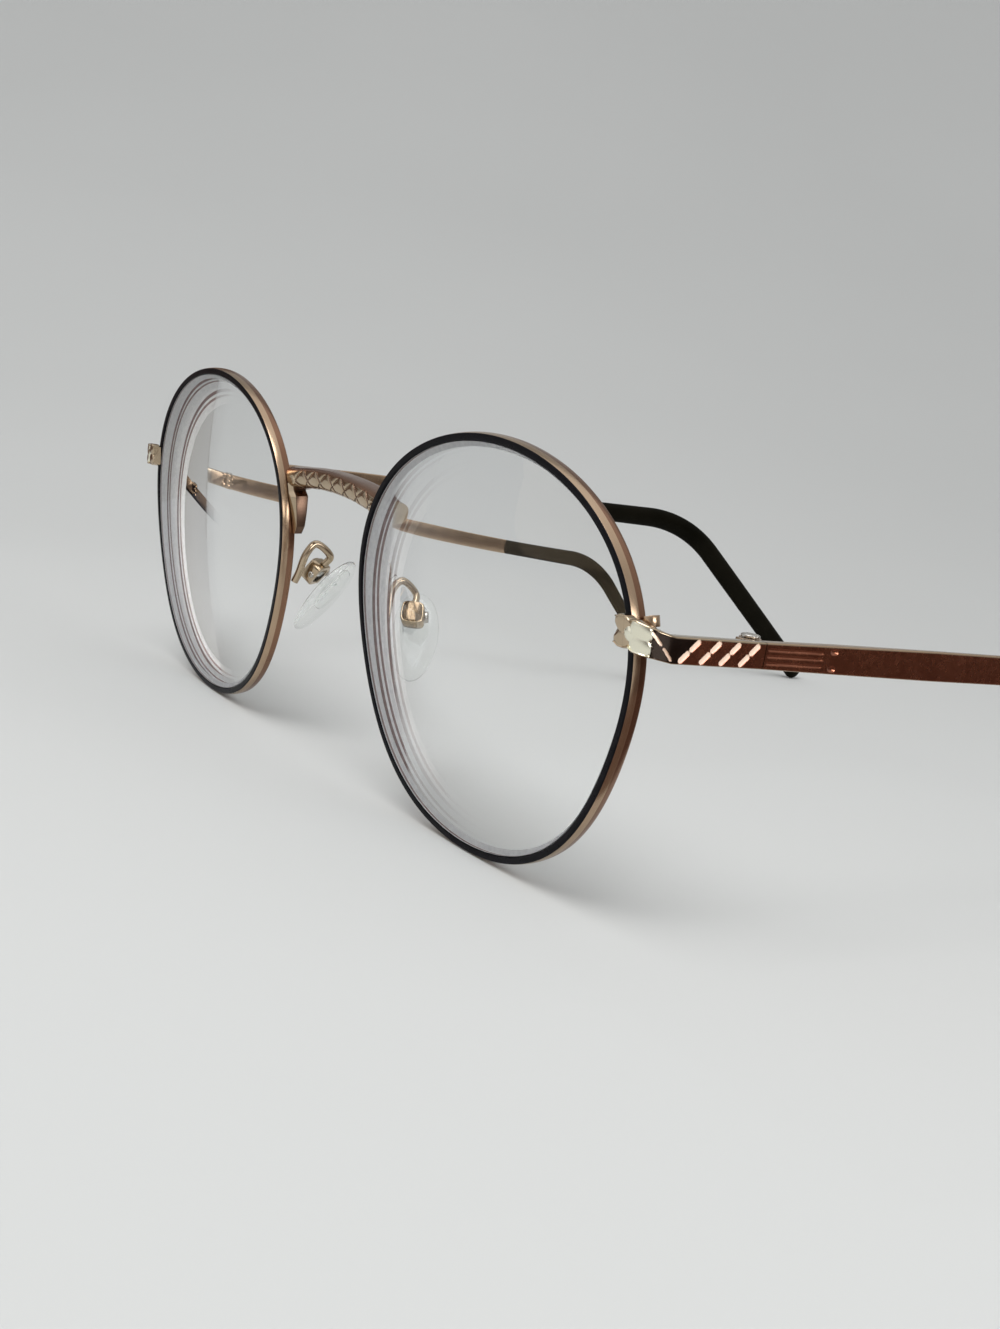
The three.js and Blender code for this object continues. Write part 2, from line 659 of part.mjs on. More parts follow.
const KNUCKLE_LEVELS = [-KNUCKLE_STACK / 2, -KNUCKLE_MIDDLE / 2, KNUCKLE_MIDDLE / 2, KNUCKLE_STACK / 2];

// Leaf with its plate forwards (way -1) or backwards (way 1) of the axis, and one knuckle for each span.
function hingeLeaf(way, spans) {
  const start = way * KNUCKLE_FACE;
  const plate = boxBetween(
    [KNUCKLE_FACE - LEAF_THICKNESS, Math.min(start, way * LEAF_LENGTH), -LEAF_HEIGHT / 2],
    [KNUCKLE_FACE, Math.max(start, way * LEAF_LENGTH), LEAF_HEIGHT / 2],
  );
  const knuckles = spans.map(([low, high]) => barrel(KNUCKLE_RADIUS, low, high));
  const webs = spans.map(([low, high]) => {
    const [near, far] = [way * RUNNING, way * (KNUCKLE_FACE + LEAF_THICKNESS)];
    return boxBetween([0, Math.min(near, far), low], [KNUCKLE_FACE, Math.max(near, far), high]);
  });
  const bore = barrel((HINGE_SCREW_RADIUS + RUNNING) * BORE_ALLOWANCE, -KNUCKLE_STACK, KNUCKLE_STACK);
  return cut(joined(plate, ...knuckles, ...webs), bore);
}

function frontLeaf() {
  const [bottom, low, high, top] = KNUCKLE_LEVELS;
  return hingeLeaf(-1, [[bottom, low], [high, top]]);
}

function templeLeaf() {
  const [, low, high] = KNUCKLE_LEVELS;
  return hingeLeaf(1, [[low + RUNNING, high - RUNNING]]);
}

function hingeScrew() {
  const head = screw(HINGE_HEAD_RADIUS, HINGE_HEAD_HEIGHT, HINGE_SCREW_RADIUS, KNUCKLE_STACK);
  return head.translate(0, 0, KNUCKLE_STACK / 2 + SEAT);
}

// Temple and tip, in the hinge's frame; the arm runs straight back and then bends down behind the ear

const TEMPLE_FACE = KNUCKLE_FACE + SEAT + ENDPIECE_THICKNESS;
const CORE_X = TEMPLE_FACE - TEMPLE_THICKNESS / 2;
const DOWN_X = new THREE.Vector3(-1, 0, 0);

// Point and slope of the arm's centre line at a length behind the hinge axis.
function armAt(length, x) {
  const bent = THREE.MathUtils.clamp((length - BEND_START) / BEND_RADIUS, 0, BEND_ANGLE);
  const straight = Math.max(0, length - BEND_START - BEND_RADIUS * BEND_ANGLE);
  const before = Math.min(length, BEND_START);
  const y = before + BEND_RADIUS * Math.sin(bent) + straight * Math.cos(bent);
  const z = -BEND_RADIUS * (1 - Math.cos(bent)) - straight * Math.sin(bent);
  return { at: new THREE.Vector3(x, y, z), up: new THREE.Vector3(0, Math.sin(bent), Math.cos(bent)) };
}

function armRing(length, x, section) {
  const { at, up } = armAt(length, x);
  return ringOf(section, at, DOWN_X, up);
}

// Stations from the start of the tip to a length near its end, closer together round the bend.
function tipStations(end) {
  const bendEnd = BEND_START + BEND_RADIUS * BEND_ANGLE;
  const bend = Array.from({ length: BEND_STEPS + 1 }, (_, i) => lerp(BEND_START, bendEnd, i / BEND_STEPS));
  return [TIP_START, (TIP_START + BEND_START) / 2, ...bend, (bendEnd + end) / 2, end];
}

// Core of the arm, or the hole for it: its root stands in the arm, and it ends inside the tip.
function coreLoft(root, grow) {
  const [thickness, band] = [CORE_THICKNESS + 2 * grow, CORE_BAND + 2 * grow];
  const section = chamferedSection(thickness, band, thickness / 4);
  const lengths = tipStations(TEMPLE_LENGTH - CORE_CLOSE + grow);
  return loft([root, ...lengths.map((length) => armRing(length, CORE_X, section))]);
}

// Chamfered section with V grooves of a depth down its outer face.
function reededSection(thickness, band, depth) {
  const x = thickness / 2;
  const plain = chamferedSection(thickness, band, BAND_CHAMFER);
  const reeds = REED_GROOVES.flatMap((height) => [
    new THREE.Vector2(-x, height + REED_HALF),
    new THREE.Vector2(depth - x, height),
    new THREE.Vector2(-x, height - REED_HALF),
  ]);
  return [...plain.slice(0, plain.length / 2), ...reeds, ...plain.slice(plain.length / 2)];
}

function thumbCut(height) {
  const ball = new THREE.SphereGeometry(1, ...THUMB_FACETS).scale(...THUMB_RADII);
  return ball.translate(TEMPLE_FACE, THUMB_AT, height);
}

function templeGeometry() {
  const taperEnd = TEMPLE_ROOT_LENGTH + TEMPLE_TAPER_LENGTH;
  const rootBand = (TEMPLE_SEAM_BAND + TEMPLE_BAND) / 2;
  const bandAt = (length) => lerp(TEMPLE_SEAM_BAND, rootBand, length / TEMPLE_ROOT_LENGTH);
  const rings = [
    [SEAM_GAP / 2, ENDPIECE_THICKNESS, TEMPLE_SEAM_BAND, 0],
    [REED_START, ENDPIECE_THICKNESS, bandAt(REED_START), REED_DEPTH],
    [REED_END, ENDPIECE_THICKNESS, bandAt(REED_END), REED_DEPTH],
    [REED_END + REED_RUNOUT, ENDPIECE_THICKNESS, bandAt(REED_END + REED_RUNOUT), 0],
    [TEMPLE_ROOT_LENGTH, ENDPIECE_THICKNESS, rootBand, 0],
    [taperEnd, TEMPLE_THICKNESS, TEMPLE_BAND, 0],
    [TIP_START - SEAT, TEMPLE_THICKNESS, TEMPLE_BAND, 0],
  ].map(([length, thickness, band, depth]) => {
    const section = reededSection(thickness, band, depth);
    return armRing(length, TEMPLE_FACE - thickness / 2, section);
  });
  const slim = chamferedSection(TEMPLE_THICKNESS / 2, CORE_BAND, TEMPLE_THICKNESS / 8);
  const arm = joined(loft(rings), coreLoft(armRing(TIP_START - CORE_ROOT, CORE_X, slim), 0));
  return cut(arm, thumbCut(THUMB_HEIGHT), thumbCut(-THUMB_HEIGHT));
}

function tipGeometry() {
  const ring = (length, shrink) => {
    const swollen = smoothstep(length, TIP_START, BEND_START + BEND_RADIUS);
    const band = lerp(TIP_FRONT_BAND, TIP_BAND, swollen) * shrink;
    return armRing(length, CORE_X, ovalSection(TIP_THICKNESS * shrink, band, TIP_SIDES));
  };
  const shaft = tipStations(TEMPLE_LENGTH - TIP_ROUND).map((length) => ring(length, 1));
  const rounding = TIP_ROUND_SHARES.map((share) => (
    ring(TEMPLE_LENGTH - TIP_ROUND * (1 - share), Math.sqrt(1 - share * share))
  ));
  const mouth = chamferedSection(CORE_THICKNESS + 2 * SEAT, CORE_BAND + 2 * SEAT, CORE_THICKNESS / 4);
  const bore = coreLoft(armRing(TIP_START - THROUGH, CORE_X, mouth), SEAT);
  return cut(loft([...shaft, ...rounding]), bore);
}

// Nose pad: frames. Its own frame has x along the pad screw, y towards the nose and z up the pad.

const PAD_ORIGIN = new THREE.Vector3(PAD_SPACING / 2, PAD_SETBACK, -PAD_DROP);
const PAD_TO_FRONT = new THREE.Matrix4().makeTranslation(PAD_ORIGIN.x, PAD_ORIGIN.y, PAD_ORIGIN.z)
  .multiply(new THREE.Matrix4().makeRotationZ(Math.PI / 2 - PAD_SPLAY))
  .multiply(new THREE.Matrix4().makeRotationX(-PAD_FRONTAL_ANGLE));

// Wire from the back of the rim, up in a loop and down into the top of the pad box.
function padArm() {
  const behind = RIM_DEPTH + SEAT + ARM_RADIUS;
  const onRim = (height, lift) => {
    const root = outlineAt(noseSideAngle(height), RIM_OUTER_WALL / 2).point;
    return root.setY(behind + lift).applyMatrix4(EYE_TO_FRONT);
  };
  const boxLid = BOX_HEIGHT / 2 + SEAT;
  const overBox = (rise) => new THREE.Vector3(0, 0, boxLid + rise).applyMatrix4(PAD_TO_FRONT);
  const boxTop = overBox(0);
  const loopHeight = ARM_LOOP_TOP - ARM_RADIUS;
  const legTop = onRim(lerp(ARM_ROOT_HIGH, loopHeight, ARM_LEG_SHARE), ARM_LIFT);
  const loopTop = legTop.clone().lerp(boxTop, ARM_LOOP_SHARE).setX(legTop.x).setZ(loopHeight);
  const route = new THREE.CatmullRomCurve3([
    onRim(ARM_ROOT_LOW, 0),
    onRim(ARM_ROOT_HIGH, ARM_LIFT / 3),
    legTop,
    loopTop,
    overBox((loopHeight - boxTop.z) / 2),
    boxTop,
  ], false, "centripetal");
  const wire = new THREE.Shape(ovalSection(2 * ARM_RADIUS, 2 * ARM_RADIUS, WIRE_SIDES));
  return new THREE.ExtrudeGeometry(wire, { steps: ARM_STEPS, extrudePath: route });
}

// Cylinder along the pad screw's direction.
function crossBarrel(radius, halfLength) {
  return barrel(radius, -halfLength, halfLength).rotateY(Math.PI / 2);
}

function roundedPlate(width, height, corner) {
  const [x, y] = [width / 2, height / 2];
  const plate = new THREE.Shape();
  plate.moveTo(corner - x, -y);
  plate.absarc(x - corner, corner - y, corner, -Math.PI / 2, 0);
  plate.absarc(x - corner, y - corner, corner, 0, Math.PI / 2);
  plate.absarc(corner - x, y - corner, corner, Math.PI / 2, Math.PI);
  plate.absarc(corner - x, corner - y, corner, Math.PI, (3 * Math.PI) / 2);
  return plate;
}

const LUG_RADIUS = BOX_HEIGHT / 2 - BOX_WALL - LUG_PLAY;

// Cup that opens towards the nose, with a hole for the pad screw in both cheeks.
function padBox() {
  const floor = -LUG_RADIUS - LUG_PLAY;
  const shell = loft(BOX_SKIN.map(([share, inset]) => {
    const plate = roundedPlate(BOX_WIDTH - 2 * inset, BOX_HEIGHT - 2 * inset, BOX_CORNER);
    const depth = floor - BOX_WALL + share * BOX_DEPTH;
    return plate.getPoints(CORNER_ARC_STEPS).map((p) => new THREE.Vector3(p.x, depth, -p.y));
  }));
  const [x, z] = [BOX_WIDTH / 2 - BOX_WALL, BOX_HEIGHT / 2 - BOX_WALL];
  const hollow = boxBetween([-x, floor, -z], [x, BOX_DEPTH, z]);
  return cut(shell, hollow, crossBarrel((PAD_SCREW_RADIUS + SEAT) * BORE_ALLOWANCE, BOX_WIDTH));
}

function padScrew() {
  const length = SEAT + BOX_WIDTH + PAD_SCREW_END;
  const turned = screw(PAD_HEAD_RADIUS, PAD_HEAD_HEIGHT, PAD_SCREW_RADIUS, length);
  return turned.rotateY(Math.PI / 2).translate(BOX_WIDTH / 2 + SEAT, 0, 0);
}

const PLATE_BACK = PAD_STANDOFF + (PAD_THICKNESS - CORE_PLATE_THICKNESS) / 2;
const LUG_HALF_WIDTH = BOX_WIDTH / 2 - BOX_WALL - LUG_PLAY;

// Neck and oval plate of the core, each grown on every side by an allowance.
function corePlate(grow) {
  const oval = new THREE.Shape();
  oval.absellipse(0, 0, CORE_PLATE_WIDTH / 2 + grow, CORE_PLATE_HEIGHT / 2 + grow, 0, 2 * Math.PI);
  const depth = CORE_PLATE_THICKNESS + 2 * grow;
  const plate = new THREE.ExtrudeGeometry(oval, { depth, bevelEnabled: false, curveSegments: ARC_STEPS });
  return plate.rotateX(-Math.PI / 2).translate(0, PLATE_BACK - grow, 0);
}

function coreNeck(grow) {
  const x = LUG_HALF_WIDTH + grow;
  const z = NECK_HEIGHT / 2 + grow;
  return boxBetween([-x, 0, -z], [x, PLATE_BACK + CORE_PLATE_THICKNESS / 2, z]);
}

function padCore() {
  const lug = crossBarrel(LUG_RADIUS, LUG_HALF_WIDTH);
  const bore = crossBarrel((PAD_SCREW_RADIUS + RUNNING) * BORE_ALLOWANCE, BOX_WIDTH);
  return cut(joined(lug, coreNeck(0), corePlate(0)), bore);
}

// Egg-shaped cushion, crowned towards the nose and moulded round the core.
function nosePad() {
  const ring = ([share, inset]) => Array.from({ length: PAD_SIDES }, (_, i) => {
    const angle = (-2 * Math.PI * i) / PAD_SIDES;
    const x = (PAD_WIDTH / 2 - inset) * (1 + PAD_EGG * Math.sin(angle)) * Math.cos(angle);
    const z = (PAD_HEIGHT / 2 - inset) * Math.sin(angle) - PAD_MOUNT_OFFSET;
    return new THREE.Vector3(x, PAD_STANDOFF + share * PAD_THICKNESS, z);
  });
  return cut(loft(PAD_PROFILE.map(ring)), coreNeck(SEAT), corePlate(SEAT));
}

// Assembly: each side is built on the wearer's left, and the right one is then mirrored

function leaningFrame() {
  const frame = new THREE.Group();
  frame.applyMatrix4(FRONT_TO_LEVEL);
  return frame;
}

function sideAssembly(side, lensOffset) {
  const half = RIM_SPLIT / 2;
  const lock = lockFrame();
  lock.add(
    piece(`rim_lock_upper_${side}`, lockBlock(half, half + LOCK_BLOCK_HEIGHT), ROSE_GOLD),
    piece(`rim_lock_lower_${side}`, lockBlock(-half - LOCK_BLOCK_HEIGHT, -half), ROSE_GOLD),
    piece(`rim_lock_screw_${side}`, lockScrew(), SCREW_STEEL),
  );
  const eye = new THREE.Group();
  eye.applyMatrix4(EYE_TO_FRONT);
  eye.add(
    piece(`rim_${side}`, rimGeometry(), ROSE_GOLD),
    piece(`lens_${side}`, lensGeometry(lensOffset), LENS_CLEAR),
    lock,
  );

  const pad = new THREE.Group();
  pad.applyMatrix4(PAD_TO_FRONT);
  pad.add(
    piece(`pad_box_${side}`, padBox(), PALE_GOLD),
    piece(`pad_screw_${side}`, padScrew(), SCREW_STEEL),
    piece(`pad_core_${side}`, padCore(), SILICONE),
    piece(`nose_pad_${side}`, nosePad(), SILICONE),
  );
  const leaning = leaningFrame();
  leaning.add(eye, piece(`pad_arm_${side}`, padArm(), PALE_GOLD), pad);

  const hinge = new THREE.Group();
  hinge.position.set(HINGE_X, HINGE_SETBACK, HINGE_HEIGHT);
  hinge.add(
    piece(`hinge_front_leaf_${side}`, frontLeaf(), ROSE_GOLD),
    piece(`hinge_temple_leaf_${side}`, templeLeaf(), ROSE_GOLD),
    piece(`hinge_screw_${side}`, hingeScrew(), SCREW_STEEL),
    piece(`temple_${side}`, templeGeometry(), ROSE_GOLD),
    piece(`temple_tip_${side}`, tipGeometry(), TIP_BLACK),
  );

  const assembly = new THREE.Group();
  assembly.add(leaning, piece(`endpiece_${side}`, endpieceGeometry(), PALE_GOLD), hinge);
  return assembly;
}

const left = sideAssembly("left", LENS_AXIS_OFFSET_LEFT);
const right = sideAssembly("right", LENS_AXIS_OFFSET_RIGHT);
right.scale.x = -1;
const centre = leaningFrame();
centre.add(piece("bridge", bridgeGeometry(), PALE_GOLD));

const glasses = new THREE.Group();
glasses.add(left, right, centre);
const box = new THREE.Box3().setFromObject(glasses, true);
const middle = box.getCenter(new THREE.Vector3());
glasses.position.set(-middle.x, -middle.y, -box.min.z);

export default glasses;
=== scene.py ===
"""Looks of the round eyeglasses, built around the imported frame.

Shapes are worked out in millimetres in the same frames as the solids: the front leans on the level
frame, each eye wraps on the front, and the temples run back from the hinge axes. Placing a skin
turns it into metres in the row's frame.
"""

import json
import math

import bpy
from mathutils import Matrix, Vector


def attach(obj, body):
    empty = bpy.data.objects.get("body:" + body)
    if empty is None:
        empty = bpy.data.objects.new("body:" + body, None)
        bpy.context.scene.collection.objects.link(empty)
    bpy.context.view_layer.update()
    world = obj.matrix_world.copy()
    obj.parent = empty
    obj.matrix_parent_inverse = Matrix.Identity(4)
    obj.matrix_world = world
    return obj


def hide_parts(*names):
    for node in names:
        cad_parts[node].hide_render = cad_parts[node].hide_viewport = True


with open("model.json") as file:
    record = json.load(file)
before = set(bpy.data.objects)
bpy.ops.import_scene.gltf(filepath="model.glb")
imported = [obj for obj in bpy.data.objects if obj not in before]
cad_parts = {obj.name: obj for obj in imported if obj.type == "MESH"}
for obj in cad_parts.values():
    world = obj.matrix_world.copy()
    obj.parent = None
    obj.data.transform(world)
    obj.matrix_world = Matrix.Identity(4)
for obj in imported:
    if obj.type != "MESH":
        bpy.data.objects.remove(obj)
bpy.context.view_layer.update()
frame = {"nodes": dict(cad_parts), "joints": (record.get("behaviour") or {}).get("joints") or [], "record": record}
MM = 0.001

# Front: lens box, gap between the boxes, lean and wrap, and the shares that shape the outline. SEAT is the
# gap where pieces meet, and the last three say how finely the outline is worked out.
LENS_WIDTH = 51
LENS_HEIGHT = 46
LENS_GAP = 22.5
FRONT_TILT = math.radians(7)
FRONT_WRAP = math.radians(3)
BROW = 0.032
SQUARENESS = -0.01
CHEEK = 0.008
SEAT = 0.06
OUTLINE_SAMPLES = 720
OUTLINE_STEP = 1e-4
OUTLINE_HALVINGS = 40

# Rim section; the inset keeps the fine curve inside the faceted one, and the shares say where the black
# front ends and where the rear half starts, which is painted browner as shade.
RIM_DEPTH = 1.9
RIM_OUTER_WALL = 0.55
GROOVE_DEPTH = 0.45
GROOVE_WIDTH = 1.1
RIM_ROUND = 0.16
RIM_CROWN = 0.14
RIM_CROWN_STEPS = 10
RIM_SPLIT = 0.3
LACQUER_SHARE = 0.8
SHADED_HALF_START = 0.52
FACET_INSET = 0.05
RIM_STEPS = 360

# Lens: the axis of its back lies off the box's centre, towards the nose and down. The bands of its edge
# are counted from the back. Light reflected inside more than LENS_REFLECTIONS times isn't bent any more.
LENS_CENTRE_THICKNESS = 1.2
LENS_FRONT_RADIUS = 300
LENS_BACK_RADIUS = 126
LENS_AXIS_OFFSET = {"left": 0.5, "right": 4}
LENS_AXIS_DROP = 2
LENS_SETBACK = 0.1
LENS_EDGE_DEPTH = 2.2
LENS_CHAMFER_WIDTH = 0.7
LENS_CHAMFER_DEPTH = 0.4
BEVEL_WIDTH = 0.9
BEVEL_BANDS = (2, 3)
LENS_SIDES = 240
LENS_RINGS = 28
LENS_MIDDLE_SHARE = 0.03
LENS_INDEX = 1.74
LENS_REFLECTIONS = 3

# Bridge: a bar whose section (depth, height) grows to its ends. The rows of a foot are shares of its
# height, of its thickness, and of the depth at which the chamfer starts and the back stands. The pair of
# shade sides counts the sides of a foot's section: the first one that is painted umber as shade, and the first
# past them.
BRIDGE_HEIGHT = 11.2
BRIDGE_SETBACK = 3.2
BRIDGE_RISE = 1.1
BRIDGE_BOW = 0.15
BAR_MIDDLE = (3.3, 2.7)
BAR_END = (4.2, 2.8)
BAR_SQUARE = 0.65
BAR_REACH = 0.88
BAR_STEPS = 360
BAR_SIDES = 128
BAR_TURN_SAMPLES = 20
BAR_FACE_ANGLE = math.radians(184)
BAR_CUT_REACH = 10.4
BAR_CUT_HALF = 1.1
BAR_CUT_SLOPE = 1.05
BAR_CUT_PITCH = 3.4
BAR_CUT_WIDTH = 0.2
BAR_CUT_DEPTH = 0.12
BAR_CUT_FADE_AROUND = 0.3
BAR_CUT_FADE_ALONG = 0.6
BAR_CUT_MARGIN = 0.15
BAR_PILLOW_WIDTH = 0.9
BAR_PILLOW_DEPTH = 0.05
FOOT_HEIGHT = 10.6
FOOT_THICKNESS = 1.3
FOOT_DEPTH = 3.3
FOOT_FACE_DEPTH = 1.55
FOOT_ROWS = [
    (1, 0.58, 0.3, 1),
    (0.9, 0.58, 0.3, 1),
    (0.835, 1, 0.3, 1),
    (0.67, 0.92, 0.36, 0.92),
    (0.505, 0.85, 0.42, 0.83),
    (0.415, 0.31, 0.45, 0.79),
]
FOOT_ROUND = 0.08
FOOT_STEPS = 5
FOOT_SHADE_SIDES = (6, 18)

# End piece
ENDPIECE_HEIGHT = 7.8
PLATE_OVERLAP = 0.9
ENDPIECE_FRONT_BAND = 3.3
ENDPIECE_THICKNESS = 1.3
ENDPIECE_CORNER = 3
CORNER_RISE_SHARE = 0.3
BAND_ROUND = 0.2
PLATE_STEPS = 60
CORNER_STEPS = 90
SIDE_STEPS = 220
FACE_ROWS = 44
FACE_TOLERANCE = 1e-6

# Carving on the end piece, along its run from the inner end of the plate. A lobe has its run, its height
# off the band's middle and its radius.
NOTCH = 0.35
NOTCH_HALF = 0.7
LOBES = [(0.95, 0.8, 1.2), (0.95, -0.8, 1.2), (3.3, 0.72, 1.25), (3.3, -0.72, 1.25), (2.15, 0, 0.8)]
LOBE_DEPTH = 0.4
# Lobes that keep the plain gold; the others are painted cream as a highlight.
UNHIGHLIGHTED_LOBES = (0, 1)
LOBES_END = 4.4
LOBES_FADE = 0.5
WAIST_AT = 2.15
WAIST_HALF = 0.8
WAIST_SHARE = 0.16
RISE_CENTRES = [8.4, 11.05, 13.58, 16.11]
FALL_CENTRES = [5.3]
DASH_NEAR = 0.2
DASH_FAR = 0.95
DASH_WIDTH = 0.54
DASH_DEPTH = 0.05
DASH_TILT_DEPTH = 0.12
FALL_WIDTH = 0.34

# Hinge and temple, back from the hinge axis
HINGE_HEIGHT = 7
HINGE_SETBACK = 14.3
KNUCKLE_RADIUS = 1.15
LEAF_RELIEF = 0.1
TEMPLE_LENGTH = 145
TEMPLE_SEAM_BAND = 2.75
TEMPLE_BAND = 3.3
TEMPLE_THICKNESS = 0.8
TEMPLE_ROOT_LENGTH = 10.5
TEMPLE_TAPER_LENGTH = 14
SEAM_GAP = 0.1
BEND_START = 88
BEND_RADIUS = 28
BEND_ANGLE = math.radians(37.9)
ROOT_STEPS = 190
ROOT_MARGIN = 1
TAPER_STEPS = 20
SHAFT_STEPS = 8

# Carving at the temple's root, along its length behind the hinge axis. The reeds rise and fade over the
# two ranges.
REED_GROOVES = [-0.72, 0.02, 0.68]
REED_HALF = 0.24
REED_DEPTH = 0.08
REED_POWER = 1.5
REED_START = (0.15, 0.6)
REED_END = (7.7, 8.2)
THUMB_AT = 9.45
THUMB_LENGTH = 0.6
THUMB_HEIGHT = 0.9
THUMB_WIDTH = 0.35
THUMB_DEPTH = 0.15

# Tip: its mouth is a little slimmer, and its end is round.
TIP_START = 62
TIP_FRONT_BAND = 3.4
TIP_BAND = 4.1
TIP_THICKNESS = 2.4
TIP_ENTRY = 0.5
TIP_ENTRY_SHARE = 0.94
TIP_ROUND = 2
TIP_INSET = 0.06
TIP_STEPS = 160
TIP_SIDES = 40
TIP_CAP_STEPS = 16
TIP_CAP_ANGLE = math.radians(88)

# Nose pads: place and turn, wire arm, box, and cushion. The box's panel is a row of shares of its size,
# and its rim has rows of a rise from the back and a share.
PAD_SPACING = 25
PAD_SETBACK = 4.9
PAD_DROP = 1.5
PAD_SPLAY = math.radians(32)
PAD_FRONTAL_ANGLE = math.radians(38)
ARM_RADIUS = 0.5
ARM_ROOT_LOW = -2.3
ARM_ROOT_HIGH = -1.2
ARM_LOOP_TOP = 3.3
ARM_LIFT = 1.3
ARM_ROOT_LIFT = ARM_LIFT / 3
ARM_LEG_SHARE = 0.7
ARM_LOOP_SHARE = 0.45
ARM_STEPS = 16
ARM_SIDES = 24
BOX_WIDTH = 3.2
BOX_DEPTH = 2.2
BOX_HEIGHT = 3.2
BOX_WALL = 0.55
BOX_SQUARE = 0.5
BOX_PANEL = [0.2, 0.4, 0.55, 0.66, 0.74, 0.79, 0.82]
BOX_PANEL_CURVE = 0.34
BOX_PANEL_CAMBER = 0.08
BOX_RIM = [(0.36, 0.84), (0.34, 0.88), (0.36, 0.92), (0.44, 0.97), (0.58, 1)]
BOX_LIP = 0.1
BOX_LIP_INSET = 0.15
BOX_SIDES = 48
PAD_WIDTH = 7
PAD_HEIGHT = 13
PAD_THICKNESS = 2.1
PAD_STANDOFF = 1.9
PAD_MOUNT_OFFSET = 1.6
PAD_EGG = 0.14
PAD_EDGE_SHARE = 0.42
PAD_BACK_POWER = 0.42
PAD_FRONT_POWER = 0.62
PAD_EDGE_ANGLE = math.radians(86)
PAD_RINGS = 26
PAD_SIDES = 72

# Softened edges of the solids that stay
BLOCK_BEVEL = 0.06
SCREW_BEVEL = 0.03
CORE_BEVEL = 0.05
SOFT_EDGE_ANGLE = math.radians(30)
SOFT_EDGE_SEGMENTS = 2
WELD_DISTANCE = 0.001

# Grain of a finish: features in a millimetre and detail of its noise. A ramp runs between two values of
# the noise.
METAL_TONE_GRAIN = (0.2, 2)
METAL_ROUGH_GRAIN = (0.3, 2)
RAMP_ENDS = (0.3, 0.7)

# Camera of the photograph, in the row's frame: metres, radians and 35 mm lens length.
CAMERA_PLACE = (0.18557, -0.17283, 0.05391)
CAMERA_YAW = math.radians(56.659)
CAMERA_PITCH = math.radians(14.004)
CAMERA_ROLL = math.radians(3.969)
CAMERA_LENS = 44.886
CAMERA_CLIP = 0.005

# Studio, in metres. The room is what metal mirrors, from dark to pale over a range of its gradient. The
# paper floor sweeps up behind the object. Flags are given by their corners.
AMBIENT = (0.59, 0.59, 0.595, 1)
ROOM_BRIGHT = (-0.8, -0.1, 0.6)
ROOM_RANGE = (0.15, 0.75)
ROOM_DARK = (0.12, 0.105, 0.095, 1)
ROOM_PALE = (0.9, 0.91, 0.92, 1)
ROOM_PAPER = (0.73, 0.74, 0.735, 1)
FLOOR_FRONT = 9
FLOOR_HALF_WIDTH = 9
SWEEP_START = 0.14
SWEEP_RADIUS = 1.1
SWEEP_HEIGHT = 1.8
SWEEP_STEPS = 48
FLAGS = {
    "flag_side": [(0.115, -0.05, 0), (0.115, 0.32, 0), (0.115, 0.32, 0.034), (0.115, -0.05, 0.034)],
    "flag_low": [(0.064, -0.08, 0.0004), (0.115, -0.08, 0.0004), (0.115, 0.1, 0.0004), (0.064, 0.1, 0.0004)],
    "flag_far": [(-0.2, -0.2, 0), (-0.2, 0, 0), (-0.2, 0, 0.12), (-0.2, -0.2, 0.12)],
}

SIDES = ("left", "right")
EYE_X = (LENS_GAP + LENS_WIDTH) / 2
KNUCKLE_FACE = KNUCKLE_RADIUS + LEAF_RELIEF
TEMPLE_FACE = KNUCKLE_FACE + SEAT + ENDPIECE_THICKNESS
CORE_X = TEMPLE_FACE - TEMPLE_THICKNESS / 2
TAU = 2 * math.pi
ROUND_STEPS = 4

JOINTS = {joint["name"]: joint for joint in frame["joints"]}
BODY_OF = {
    node: body
    for body, nodes in frame["record"]["behaviour"]["bodies"].items()
    for node in nodes
}

# Frames in millimetres, on the wearer's left; the other side is the mirror image.
HINGE_AXIS = Vector(JOINTS["left_temple_fold"]["pos_m"]) / MM
LEVEL = Matrix.Translation((0, HINGE_AXIS.y - HINGE_SETBACK, HINGE_AXIS.z - HINGE_HEIGHT))
FRONT_TILT_MATRIX = Matrix.Rotation(FRONT_TILT, 4, "X")
FRONT = LEVEL @ FRONT_TILT_MATRIX
EYE_TO_FRONT = Matrix.Translation((EYE_X, 0, 0)) @ Matrix.Rotation(FRONT_WRAP, 4, "Z")
EYE = FRONT @ EYE_TO_FRONT
HINGE = Matrix.Translation(HINGE_AXIS)
PAD_TO_FRONT = (
    Matrix.Translation((PAD_SPACING / 2, PAD_SETBACK, -PAD_DROP))
    @ Matrix.Rotation(math.pi / 2 - PAD_SPLAY, 4, "Z")
    @ Matrix.Rotation(-PAD_FRONTAL_ANGLE, 4, "X")
)
PAD = FRONT @ PAD_TO_FRONT
MIRROR = Matrix.Scale(-1, 4, (1, 0, 0))


# Small helpers

def lerp(a, b, share):
    return a + (b - a) * share


def smooth(value, low, high):
    """0 up to low and 1 from high, with a smooth step between them."""
    t = min(1, max(0, (value - low) / (high - low)))
    return t * t * (3 - 2 * t)


def spread(count, low=0.0, high=1.0):
    """count + 1 even values from low to high."""
    return [lerp(low, high, i / count) for i in range(count + 1)]


